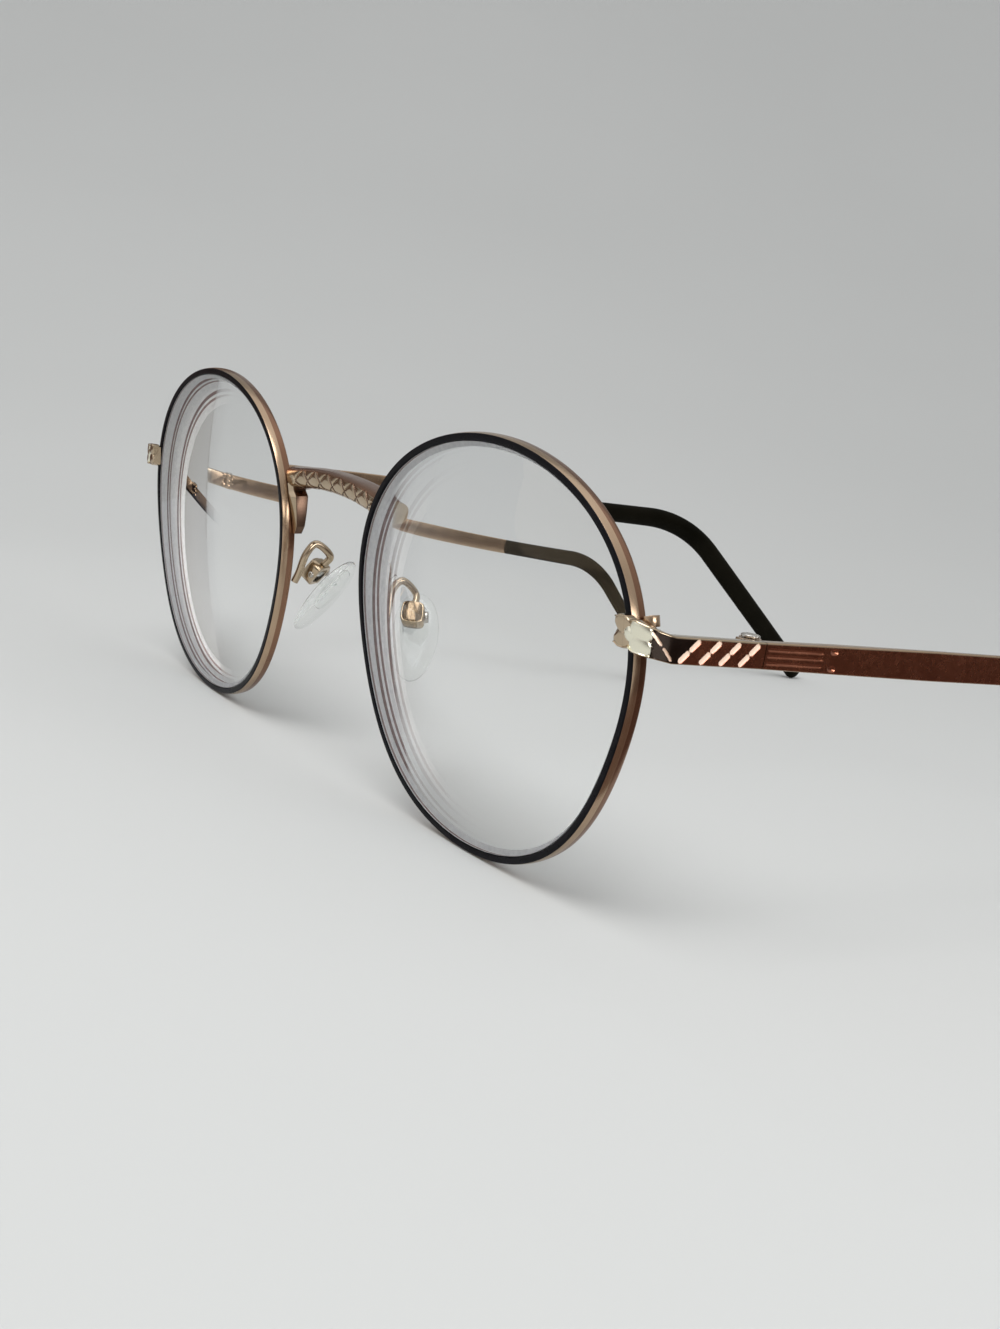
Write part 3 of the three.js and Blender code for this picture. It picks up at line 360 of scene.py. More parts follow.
class Skin:
    """Vertices, faces and the finish of each face, gathered piece by piece."""

    def __init__(self, finish):
        self.finish = finish
        self.vertices = []
        self.faces = []
        self.finishes = []

    def points(self, points):
        start = len(self.vertices)
        self.vertices.extend(Vector(point) for point in points)
        return start

    def face(self, corners, finish=None):
        """A face that is given no finish takes the skin's own."""
        self.faces.append(tuple(corners))
        self.finishes.append(self.finish if finish is None else finish)

    def rings(self, rings, finish=lambda ring, side: None, first_end=None):
        """Skin through rings of equal counts; they turn anticlockwise seen from the last ring.

        finish gives the finish of each face between the rings, and first_end that of the first end.
        """
        sides = len(rings[0])
        starts = [self.points(ring) for ring in rings]
        for ring, (a, b) in enumerate(zip(starts, starts[1:])):
            for side in range(sides):
                after = (side + 1) % sides
                self.face((a + side, a + after, b + after, b + side), finish(ring, side))
        self.face([starts[0] + side for side in reversed(range(sides))], first_end)
        self.face([starts[-1] + side for side in range(sides)])
        return self


def add(name, data):
    """Object of some data, in the scene."""
    piece = bpy.data.objects.new(name, data)
    bpy.context.scene.collection.objects.link(piece)
    return piece


def build(name, skin, place, mirrored, sharp_angle):
    """Object of a skin, placed in the row's frame in metres."""
    matrix = Matrix.Scale(MM, 4) @ (MIRROR @ place if mirrored else place)
    faces = [face[::-1] for face in skin.faces] if mirrored else skin.faces
    mesh = bpy.data.meshes.new(name)
    mesh.from_pydata([matrix @ vertex for vertex in skin.vertices], [], faces)
    finishes = dict.fromkeys([skin.finish, *skin.finishes])
    numbers = {finish: number for number, finish in enumerate(finishes)}
    for finish in finishes:
        mesh.materials.append(finish)
    mesh.polygons.foreach_set("material_index", [numbers[finish] for finish in skin.finishes])
    mesh.shade_smooth()
    mesh.set_sharp_from_angle(angle=math.radians(sharp_angle))
    mesh.validate()
    return add(name, mesh)


def stand_in(node, skin, place, sharp_angle, mirrored=False):
    """The skin takes the place of a node."""
    piece = build(f"{node}_fine", skin, place, mirrored, sharp_angle)
    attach(piece, BODY_OF[node])
    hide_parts(node)
    return piece


def dress(node, skin, place, sharp_angle=35, sides=SIDES):
    """The skin takes the place of a node on each side; the right one is mirrored."""
    for side in sides:
        piece = stand_in(f"{node}_{side}", skin, place, sharp_angle, side == "right")


def refine(node, finish, bevel):
    """A solid whose shape is right keeps its place, with softened edges and its own finish."""
    piece = frame["nodes"][node]
    piece.data.materials.clear()
    piece.data.materials.append(finish)
    weld = piece.modifiers.new("weld", "WELD")
    weld.merge_threshold = WELD_DISTANCE * MM
    edges = piece.modifiers.new("edges", "BEVEL")
    edges.width = bevel * MM
    edges.segments = SOFT_EDGE_SEGMENTS
    edges.limit_method = "ANGLE"
    edges.angle_limit = SOFT_EDGE_ANGLE
    edges.harden_normals = False
    piece.data.shade_smooth()
    piece.data.set_sharp_from_angle(angle=SOFT_EDGE_ANGLE)


# Materials

class Shader:
    """A material's nodes, with a Principled surface whose constants are set on its sockets."""

    def __init__(self, name, **sockets):
        self.material = bpy.data.materials.new(name)
        self.material.use_nodes = True
        self.nodes = self.material.node_tree.nodes
        self.links = self.material.node_tree.links
        self.surface = self.nodes["Principled BSDF"]
        for socket, value in sockets.items():
            self.surface.inputs[socket.replace("_", " ")].default_value = value

    def drive(self, socket, output):
        self.links.new(output, self.surface.inputs[socket])

    def ramp(self, socket, value, low, high):
        """A socket goes from low to high, colours or greys, as a value goes from dark to light."""
        ramp = self.nodes.new("ShaderNodeValToRGB")
        for end, position, tone in zip(ramp.color_ramp.elements, RAMP_ENDS, (low, high)):
            end.position = position
            end.color = (*tone, 1) if isinstance(tone, tuple) else (tone, tone, tone, 1)
        self.links.new(value, ramp.inputs["Fac"])
        self.drive(socket, ramp.outputs["Color"])

    def vary(self, socket, low, high, per_mm, detail):
        """A socket wanders from low to high, with features of about 1 / per_mm millimetres."""
        place = self.nodes.new("ShaderNodeTexCoord")
        noise = self.nodes.new("ShaderNodeTexNoise")
        noise.inputs["Scale"].default_value = per_mm / MM
        noise.inputs["Detail"].default_value = detail
        self.links.new(place.outputs["Object"], noise.inputs["Vector"])
        self.ramp(socket, noise.outputs["Fac"], low, high)


def varied(name, tones, tone_grain, rough=None, rough_grain=None, **sockets):
    """Material whose colour wanders between two tones, and its roughness too where that is given."""
    shader = Shader(name, **sockets)
    shader.vary("Base Color", *tones, *tone_grain)
    if rough:
        shader.vary("Roughness", *rough, *rough_grain)
    return shader.material


def metal(name, tones, rough):
    """Plated metal, whose tone and polish vary a little."""
    return varied(name, tones, METAL_TONE_GRAIN, rough, METAL_ROUGH_GRAIN, Metallic=1.0)


def lens_clear():
    """Coated against reflections from outside. Light that was reflected often inside goes straight out."""
    shader = Shader(
        "lens_clear", Base_Color=(0.99, 0.995, 0.995, 1), Roughness=0.0, Transmission_Weight=1.0,
        Thin_Film_Thickness=98.0, Thin_Film_IOR=1.38,
    )
    inside = shader.nodes.new("ShaderNodeNewGeometry").outputs["Backfacing"]
    shader.ramp("Specular Tint", inside, (0.22, 0.28, 0.45), (0.9, 0.9, 0.9))
    index = shader.nodes.new("ShaderNodeMapRange")
    index.inputs["From Min"].default_value = LENS_REFLECTIONS
    index.inputs["From Max"].default_value = LENS_REFLECTIONS + 1
    index.inputs["To Min"].default_value = LENS_INDEX
    index.inputs["To Max"].default_value = 1
    reflections = shader.nodes.new("ShaderNodeLightPath").outputs["Glossy Depth"]
    shader.links.new(reflections, index.inputs["Value"])
    shader.drive("IOR", index.outputs["Result"])
    return shader.material


ROSE_GOLD = metal("rose_gold", ((0.47, 0.335, 0.225), (0.53, 0.385, 0.265)), (0.2, 0.26))
# Darker copy of the gold, painted as shade on the rim's rear half and on the bridge bar's top and back
SHADED_GOLD = metal("gold_painted_shade", ((0.25, 0.135, 0.085), (0.30, 0.165, 0.105)), (0.2, 0.28))
# Dark umber, painted as shade on the dark side of each engraved stroke and on a foot's nose side and back
UMBER_SHADE = metal("umber_painted_shade", ((0.13, 0.08, 0.056), (0.16, 0.10, 0.07)), (0.22, 0.3))
PALE_GOLD = metal("pale_gold", ((0.46, 0.36, 0.245), (0.53, 0.42, 0.30)), (0.12, 0.18))
# Darker copy of the gold, painted as shade on the back panel of a pad box
PANEL_SHADE_BRONZE = metal("bronze_painted_shade", ((0.24, 0.175, 0.115), (0.29, 0.215, 0.145)), (0.14, 0.2))
COPPER_LACQUER = varied(
    "copper_lacquer", ((0.38, 0.135, 0.075), (0.46, 0.175, 0.10)), tone_grain=(0.3, 3),
    rough=(0.2, 0.3), rough_grain=(1.4, 4),
    Metallic=1.0, Coat_Weight=0.4, Coat_Roughness=0.08, Coat_IOR=1.45,
)
# Lacquer painted near black as shade on the end piece's corner, before the lattice
SHADED_LACQUER = varied(
    "lacquer_painted_shade", ((0.06, 0.042, 0.034), (0.08, 0.056, 0.045)), tone_grain=(0.3, 2),
    rough=(0.2, 0.28), rough_grain=(0.5, 2),
    Metallic=1.0, Coat_Weight=0.3, Coat_Roughness=0.1, Coat_IOR=1.45,
)
# Satin floors of the lattice's cuts, painted a bright peach as their highlight
DASH_HIGHLIGHT = varied(
    "dash_painted_highlight", ((0.94, 0.69, 0.53), (0.97, 0.74, 0.58)), tone_grain=(0.5, 2),
    rough=(0.3, 0.4), rough_grain=(0.6, 2), Metallic=0.2,
)
# Pale cream metal, painted as a highlight on the lit side of the bar's strokes and on the plate's bright lobes
HIGHLIGHT_CREAM = metal("cream_painted_highlight", ((0.84, 0.80, 0.64), (0.90, 0.87, 0.72)), (0.2, 0.28))
SCREW_STEEL = metal("screw_steel", ((0.52, 0.49, 0.45), (0.62, 0.59, 0.55)), (0.2, 0.32))
BLACK_LACQUER = varied(
    "black_lacquer", ((0.003, 0.003, 0.004), (0.007, 0.006, 0.008)), tone_grain=(0.8, 3),
    rough=(0.25, 0.42), rough_grain=(2.5, 4), Specular_IOR_Level=0.07,
)
LENS_CLEAR = lens_clear()
LENS_EDGE = varied(
    "lens_edge", ((0.80, 0.80, 0.81), (0.92, 0.92, 0.92)), tone_grain=(1.5, 4),
    rough=(0.45, 0.65), rough_grain=(3, 4), Specular_IOR_Level=0.1,
)
# Ground bevel, with the gold of the groove behind it painted into its colour as a reflection
LENS_BEVEL = varied(
    "lens_bevel_painted_reflection", ((0.33, 0.25, 0.24), (0.44, 0.35, 0.34)), tone_grain=(1.2, 4),
    rough=(0.45, 0.65), rough_grain=(3, 4), Specular_IOR_Level=0.1,
)
TIP_ACETATE = varied(
    "tip_acetate", ((0.004, 0.0036, 0.0022), (0.009, 0.0078, 0.005)), tone_grain=(0.12, 5),
    rough=(0.28, 0.40), rough_grain=(1.8, 4), Specular_IOR_Level=0.02,
)
SILICONE = varied(
    "silicone", ((0.965, 0.98, 0.965), (0.985, 0.99, 0.985)), tone_grain=(0.4, 3),
    rough=(0.04, 0.08), rough_grain=(1.2, 3),
    IOR=1.07, Transmission_Weight=0.97, Coat_Weight=0.7, Coat_IOR=1.4, Coat_Roughness=0.12,
)
CORE_PLASTIC = varied(
    "core_plastic", ((0.95, 0.965, 0.955), (0.98, 0.985, 0.98)), tone_grain=(0.7, 3),
    rough=(0.05, 0.1), rough_grain=(2, 3), IOR=1.04, Transmission_Weight=0.97,
)


# Lens outline in the plane of one eye: x towards the temple, z up, centred on its box

def unit_outline(angle):
    """Point of the outline at about unit size: a circle with three waves."""
    radius = 1 + BROW * math.sin(3 * angle) + SQUARENESS * math.cos(4 * angle) + CHEEK * math.sin(5 * angle)
    return radius * math.cos(angle), radius * math.sin(angle)


UNIT_POINTS = [unit_outline(angle) for angle in spread(OUTLINE_SAMPLES, 0, TAU)]
UNIT_LOW = [min(values) for values in zip(*UNIT_POINTS)]
UNIT_HIGH = [max(values) for values in zip(*UNIT_POINTS)]


def outline_point(angle):
    """Point of the outline, scaled to fill the lens box."""
    x, z = unit_outline(angle)
    across = (x - (UNIT_LOW[0] + UNIT_HIGH[0]) / 2) * LENS_WIDTH / (UNIT_HIGH[0] - UNIT_LOW[0])
    up = (z - (UNIT_LOW[1] + UNIT_HIGH[1]) / 2) * LENS_HEIGHT / (UNIT_HIGH[1] - UNIT_LOW[1])
    return Vector((across, 0, up))


def outline_at(angle, wall=0.0):
    """Point on the outline, moved outwards by a wall, and the outward direction there."""
    along = (outline_point(angle + OUTLINE_STEP) - outline_point(angle - OUTLINE_STEP)).normalized()
    outward = Vector((along.z, 0, -along.x))
    return outline_point(angle) + outward * wall, outward


def angle_at_height(height, low, high):
    """Angle at which the outline has a height, between those of a lower and a higher point."""
    for _ in range(OUTLINE_HALVINGS):
        middle = (low + high) / 2
        if outline_point(middle).z < height:
            low = middle
        else:
            high = middle
    return (low + high) / 2


def temple_side(height):
    return angle_at_height(height, -math.pi / 2, math.pi / 2)


def nose_side(height):
    return angle_at_height(height, 1.5 * math.pi, math.pi / 2)


def outline_rings(section, angles):
    """Rings of a section, as depth behind the front plane and height off the outline."""
    rings = []
    for angle in angles:
        base, outward = outline_at(angle)
        rings.append([base + outward * wall + Vector((0, depth, 0)) for depth, wall in section])
    return rings


def rounded(corners, radius):
    """Polygon with each corner rounded; radius is one value or one for each corner."""
    radii = radius if isinstance(radius, (list, tuple)) else [radius] * len(corners)
    points = []
    for i, (x, y) in enumerate(corners):
        here = Vector((x, y))
        before = (Vector(corners[i - 1]) - here).normalized()
        after = (Vector(corners[(i + 1) % len(corners)]) - here).normalized()
        if radii[i] == 0:
            points.append(here)
            continue
        half = before.angle(after) / 2
        reach = radii[i] / math.tan(half)
        centre = here + (before + after).normalized() * (radii[i] / math.sin(half))
        first = here + before * reach - centre
        last = here + after * reach - centre
        turn = math.remainder(math.atan2(last.y, last.x) - math.atan2(first.y, first.x), TAU)
        for share in spread(ROUND_STEPS):
            points.append(centre + Matrix.Rotation(turn * share, 2) @ first)
    return [tuple(point) for point in points]


# Rims

LOCK_ANGLE = temple_side(ENDPIECE_HEIGHT)


def rim_skin():
    """Wire with a crowned outer side, a lacquered front, a rear half painted browner as shade and a V groove
    inside.
    """
    inside, outside = -GROOVE_DEPTH, RIM_OUTER_WALL - FACET_INSET
    groove = RIM_DEPTH / 2
    crown = [
        (RIM_DEPTH * share, outside - RIM_CROWN * (2 * share - 1) ** 2)
        for share in spread(RIM_CROWN_STEPS)
    ]
    corners = [
        (0, inside), *crown, (RIM_DEPTH, inside),
        (groove + GROOVE_WIDTH / 2, inside), (groove, 0), (groove - GROOVE_WIDTH / 2, inside),
    ]
    plain = [0] * (len(crown) - 2)
    section = rounded(corners, [RIM_ROUND, RIM_ROUND, *plain, RIM_ROUND, RIM_ROUND, 0, 0, 0])
    half = RIM_SPLIT / 2 / outline_point(LOCK_ANGLE).length
    angles = spread(RIM_STEPS, LOCK_ANGLE + half, LOCK_ANGLE + TAU - half)
    lip = groove - GROOVE_WIDTH / 2

    def finish(_, side):
        depth, wall = [(a + b) / 2 for a, b in zip(section[side], section[(side + 1) % len(section)])]
        if depth < (lip if wall < 0 else RIM_ROUND * LACQUER_SHARE):
            return BLACK_LACQUER
        # The rear half of the outer side is painted browner as shade.
        return SHADED_GOLD if wall > 0 and depth > RIM_DEPTH * SHADED_HALF_START else ROSE_GOLD

    return Skin(ROSE_GOLD).rings(outline_rings(section, angles), finish)


dress("rim", rim_skin(), EYE)


# Lenses

def lens_rings(axis_offset):
    """Rings from the middle of the back, over the edge, to the middle of the front."""
    edge_wall = -GROOVE_DEPTH - SEAT
    edge_radius = (LENS_WIDTH + LENS_HEIGHT) / 4 + edge_wall
    front_vertex = LENS_SETBACK - edge_radius ** 2 / (2 * LENS_FRONT_RADIUS)
    back_vertex = front_vertex + LENS_CENTRE_THICKNESS
    bevel = RIM_DEPTH / 2
    angles = spread(LENS_SIDES, 0, TAU)[:-1]
    edge = [outline_at(angle, edge_wall)[0] for angle in angles]
    flat = [outline_at(angle, edge_wall - LENS_CHAMFER_WIDTH)[0] for angle in angles]
    ridge = [outline_at(angle, -SEAT)[0] for angle in angles]

    def bowl(outline, share, vertex, radius, offset=0.0, drop=0.0):
        scaled = [p * share for p in outline]
        sags = [((p.x + offset) ** 2 + (p.z + drop) ** 2) / (2 * radius) for p in scaled]
        return [Vector((p.x, vertex + sag, p.z)) for p, sag in zip(scaled, sags)]

    def level(points, depth):
        return [Vector((p.x, depth, p.z)) for p in points]

    shares = spread(LENS_RINGS, LENS_MIDDLE_SHARE, 1)
    back_bowl = (LENS_BACK_RADIUS, axis_offset, LENS_AXIS_DROP)
    back = [bowl(flat, share, back_vertex, *back_bowl) for share in shares]
    brink = bowl(edge, 1, back_vertex - LENS_CHAMFER_DEPTH, *back_bowl)
    middle = [
        [Vector((p.x, min(LENS_EDGE_DEPTH, p.y), p.z)) for p in brink],
        level(edge, bevel + BEVEL_WIDTH / 2),
        level(ridge, bevel),
        level(edge, bevel - BEVEL_WIDTH / 2),
    ]
    front = [bowl(edge, share, front_vertex, LENS_FRONT_RADIUS) for share in reversed(shares)]
    return back, middle, front


def lens_skin(axis_offset):
    """Clear lens with a ground edge, whose bevel is painted with the groove's gold as a reflection."""
    back, middle, front = lens_rings(axis_offset)
    first_edge = len(back) - 1

    def finish(ring, _):
        band = ring - first_edge
        if band in BEVEL_BANDS:
            return LENS_BEVEL
        return LENS_EDGE if 0 <= band <= len(middle) else LENS_CLEAR

    return Skin(LENS_CLEAR).rings(back + middle + front, finish)


for lens_side, lens_offset in LENS_AXIS_OFFSET.items():
    dress("lens", lens_skin(lens_offset), EYE, sharp_angle=25, sides=(lens_side,))


# Sections, and sweeps along a path

def ring_at(section, origin, across, up):
    """Section placed in space by its origin and its two directions."""
    return [origin + across * x + up * y for x, y in section]


def spline(points, steps):
    """Points on a centripetal Catmull-Rom curve, with steps between each pair of its points."""
    knots = [points[0] * 2 - points[1], *points, points[-1] * 2 - points[-2]]
    path = []
    for p0, p1, p2, p3 in zip(knots, knots[1:], knots[2:], knots[3:]):
        t1 = (p1 - p0).length ** 0.5
        t2 = t1 + (p2 - p1).length ** 0.5
        t3 = t2 + (p3 - p2).length ** 0.5
        for share in spread(steps)[:-1]:
            t = lerp(t1, t2, share)
            a1 = p0.lerp(p1, t / t1)
            a2 = p1.lerp(p2, (t - t1) / (t2 - t1))
            a3 = p2.lerp(p3, (t - t2) / (t3 - t2))
            path.append(a1.lerp(a2, t / t2).lerp(a2.lerp(a3, (t - t1) / (t3 - t1)), (t - t1) / (t2 - t1)))
    return [*path, points[-1]]


def oval(width, height, sides):
    """Section of a wire or a sleeve."""
    return [
        (width / 2 * math.cos(angle), height / 2 * math.sin(angle))
        for angle in spread(sides, 0, TAU)[:-1]
    ]


def squared(angle, width, height, power):
    """Point of an oval that fills its box the more, the lower the power is; 1 leaves it an oval."""
    c, s = math.cos(angle), math.sin(angle)
    return Vector((
        width / 2 * math.copysign(abs(c) ** power, c),
        height / 2 * math.copysign(abs(s) ** power, s),
    ))


def tube(path, section):
    """Rings of a wire along a path."""
    rings = []
    side = Vector((1, 0, 0))
    for i, here in enumerate(path):
        along = (path[min(i + 1, len(path) - 1)] - path[max(i - 1, 0)]).normalized()
        side = (side - along * side.dot(along)).normalized()
        rings.append(ring_at(section, here, side, along.cross(side)))
    return rings


# Bridge: engraved bar and two feet

def on_wall(height, depth, rise=0.0):
    """Point on the nose side of the left rim, in the front's frame."""
    point, _ = outline_at(nose_side(height), RIM_OUTER_WALL + SEAT + rise)
    point.y = depth
    return EYE_TO_FRONT @ point


def bar_point(angle, size):
    """Point of the bar's section, with the front at half a turn."""
    return squared(angle, *size, BAR_SQUARE)


def even_turns(size, count):
    """Angles evenly spaced round the section, each with its run from the middle of the engraving."""
    samples = BAR_TURN_SAMPLES * count
    angles = spread(samples, 0, TAU)
    runs = [0]
    for a, b in zip(angles, angles[1:]):
        runs.append(runs[-1] + (bar_point(b, size) - bar_point(a, size)).length)
    face = runs[round(BAR_FACE_ANGLE / TAU * samples)]
    turns = []
    at = 0
    for i in range(count):
        while runs[at] < runs[-1] * i / count:
            at += 1
        turns.append((angles[at], runs[at] - face))
    return turns


def off_crossing(along, around):
    """Distance along the bar from the nearest of the crossed strokes, with its sign."""
    return min(
        (math.remainder(along + way * around * BAR_CUT_SLOPE, BAR_CUT_PITCH) for way in (-1, 1)),
        key=abs,
    )


def crossing_cut(along, around):
    """Depth of the engraving on the front of the bar: crossed strokes with pillows between them."""
    fade = 1 - smooth(abs(around), BAR_CUT_HALF, BAR_CUT_HALF + BAR_CUT_FADE_AROUND)
    fade *= 1 - smooth(abs(along), BAR_CUT_REACH, BAR_CUT_REACH + BAR_CUT_FADE_ALONG)
    off = abs(off_crossing(along, around))
    stroke_depth = BAR_CUT_DEPTH * max(0, 1 - off / BAR_CUT_WIDTH)
    return fade * (stroke_depth + BAR_PILLOW_DEPTH * max(0, 1 - off / BAR_PILLOW_WIDTH) ** 2)


def bridge_bar():
    """Rings of the bar and the finish of its faces."""
    end = on_wall(BRIDGE_HEIGHT, BRIDGE_SETBACK)
    turns = even_turns(BAR_MIDDLE, BAR_SIDES)
    last = [bar_point(angle, BAR_END) for angle, _ in turns]
    last = [on_wall(BRIDGE_HEIGHT + p.y, BRIDGE_SETBACK + p.x) for p in last]
    rings = [[MIRROR @ point for point in last]]
    runs = [-BAR_CUT_REACH - BAR_CUT_PITCH]
    for t in spread(BAR_STEPS, -BAR_REACH, BAR_REACH):
        crown = 1 - t * t
        centre = Vector((t * end.x, end.y - BRIDGE_BOW * crown, end.z + BRIDGE_RISE * crown))
        along = Vector((end.x, 2 * t * BRIDGE_BOW, -2 * t * BRIDGE_RISE)).normalized()
        across = -(Vector((0, 1, 0)).cross(along)).cross(along).normalized()
        size = [lerp(wide, slim, crown) for wide, slim in zip(BAR_END, BAR_MIDDLE)]
        section = []
        for angle, around in turns:
            point = bar_point(angle, size)
            section.append(point * (1 - crossing_cut(centre.x, around) / point.length))
        rings.append(ring_at(section, centre, across, along.cross(across)))
        runs.append(centre.x)

    def finish(ring, side):
        around = turns[side][1]
        # Past the engraving, the bar's top and back are painted the darker gold as shade.
        if abs(around) > BAR_CUT_HALF + BAR_CUT_MARGIN:
            return SHADED_GOLD
        off = off_crossing(runs[ring], around)
        if abs(off) > BAR_CUT_WIDTH or abs(runs[ring]) > BAR_CUT_REACH:
            return PALE_GOLD
        # Each stroke is painted cream as a highlight on one side and umber as shade on the other.
        return HIGHLIGHT_CREAM if off > 0 else UMBER_SHADE

    return [*rings, last], finish


def foot_rings():
    """Wedge down the nose side of a rim, with a ledge under the bar and a lip at its lower end."""
    rows = [FOOT_ROWS[0]]
    for a, b in zip(FOOT_ROWS, FOOT_ROWS[1:]):
        rows += [[lerp(p, q, share) for p, q in zip(a, b)] for share in spread(FOOT_STEPS)[1:]]
    rings = []
    for height, thickness, chamfer, back in rows:
        out = thickness * FOOT_THICKNESS
        rear = back * FOOT_DEPTH
        corners = [(chamfer * FOOT_DEPTH, 0), (FOOT_FACE_DEPTH, out), (rear, out), (rear, 0)]
        section = rounded(corners, FOOT_ROUND)
        rings.append([on_wall(height * FOOT_HEIGHT, depth, rise) for depth, rise in section])
    return rings


def bridge_skin():
    """The bar and a foot at each end; a foot is painted umber as shade on its nose side and its back."""
    foot = foot_rings()
    sides = len(foot[0])

    def foot_finish(_, side):
        return UMBER_SHADE if FOOT_SHADE_SIDES[0] <= side < FOOT_SHADE_SIDES[1] else PALE_GOLD

    skin = Skin(PALE_GOLD).rings(*bridge_bar())
    skin.rings(foot, foot_finish)
    # A mirrored ring runs the other way, so its sides count backwards from the last but one.
    mirrored = [[MIRROR @ point for point in ring[::-1]] for ring in foot]
    return skin.rings(mirrored, lambda ring, side: foot_finish(ring, (sides - 2 - side) % sides))


stand_in("bridge", bridge_skin(), FRONT, sharp_angle=30)


# End pieces: a band with relief on its outer face, from the rim's front round the corner to the seam

UPRIGHT = Vector((0, 0, 1))
LEANING = FRONT_TILT_MATRIX @ UPRIGHT


def endpiece_path():
    """Stations along the middle of the band: place, direction, and share of the turn made."""
    eye_to_level = FRONT_TILT_MATRIX @ EYE_TO_FRONT
    front = outline_point(LOCK_ANGLE)
    plate = -SEAT - ENDPIECE_THICKNESS / 2

    def on_plate(wall):
        return eye_to_level @ Vector((front.x + wall, plate, front.z))

    inner = on_plate(-PLATE_OVERLAP)
    turn = on_plate(RIM_OUTER_WALL + SEAT)
    side_x = HINGE_AXIS.x + TEMPLE_FACE - ENDPIECE_THICKNESS / 2
    corner = Vector((side_x, turn.y, lerp(turn.z, HINGE_HEIGHT, CORNER_RISE_SHARE)))
    side = Vector((side_x, turn.y + ENDPIECE_CORNER, HINGE_HEIGHT))
    seam = Vector((side_x, HINGE_SETBACK - SEAM_GAP / 2, HINGE_HEIGHT))
    stations = [(inner.lerp(turn, s), turn - inner, 0) for s in spread(PLATE_STEPS)[:-1]]
    for t in spread(CORNER_STEPS)[:-1]:
        place = turn.lerp(corner, t).lerp(corner.lerp(side, t), t)
        stations.append((place, (corner - turn).lerp(side - corner, t), t))
    stations += [(side.lerp(seam, s), seam - side, 1) for s in spread(SIDE_STEPS)]
    return stations


def band_section(thickness, band, cut):
    """Section of a band whose outer face, at -x, takes a cut that depends on the height."""
    half_t, half_b = thickness / 2, band / 2
    plain = rounded(
        [(-half_t, -half_b), (half_t, -half_b), (half_t, half_b), (-half_t, half_b)], BAND_ROUND,
    )
    rest = [(x, y) for x, y in plain if x > FACE_TOLERANCE - half_t]
    rows = spread(FACE_ROWS, half_b - BAND_ROUND, BAND_ROUND - half_b)
    return rest + [(-half_t + cut(height), height) for height in rows]


def stroke(u, v, start, end, width):
    """Place across a round-ended stroke, from -1 at its lower edge to 1, or None outside it."""
    line = Vector(end) - Vector(start)
    to = Vector((u, v)) - Vector(start)
    share = min(1, max(0, to.dot(line) / line.length_squared))
    if (to - line * share).length > width / 2:
        return None
    return (line.x * to.y - line.y * to.x) / line.length / (width / 2)


def dashes(centre, way):
    """The two dashes of a broken stroke, which rises where way is 1 and falls where it is -1."""
    near, far = DASH_NEAR, DASH_FAR
    return [
        ((centre - far, -far * way), (centre - near, -near * way)),
        ((centre + near, near * way), (centre + far, far * way)),
    ]


def lattice_dash(u, v):
    """Place across the dash that covers a point, or None."""
    for centres, way, width in ((RISE_CENTRES, 1, DASH_WIDTH), (FALL_CENTRES, -1, FALL_WIDTH)):
        for centre in centres:
            if abs(u - centre) > 2 * DASH_FAR:
                continue
            for start, end in dashes(centre, way):
                across = stroke(u, v, start, end, width)
                if across is not None:
                    return across
    return None


def lobe_at(u, v):
    """Height of the highest lobe at a point of the plate, as a share, and its number."""
    domes = []
    for number, (at, height, radius) in enumerate(LOBES):
        off = math.hypot(u - at, v - height) / radius
        domes.append((math.sqrt(max(0, 1 - off * off)), number))
    return max(domes)


def endpiece_cut(u, v):
    """Depth of the carving on the end piece: domed lobes on the plate, then the lattice."""
    dash = lattice_dash(u, v)
    if dash is not None:
        return DASH_DEPTH + DASH_TILT_DEPTH * (1 + dash) / 2
    dome, _ = lobe_at(u, v)
    return LOBE_DEPTH * (1 - dome) * (1 - smooth(u, LOBES_END, LOBES_END + LOBES_FADE))


def plate_waist(u):
    """Share of the band's height that the plate keeps, narrower between its lobes and at its end."""
    waist = max(0, 1 - abs(u - WAIST_AT) / WAIST_HALF)
    return 1 - WAIST_SHARE * (waist * waist + (1 - smooth(u, 0, WAIST_HALF)))


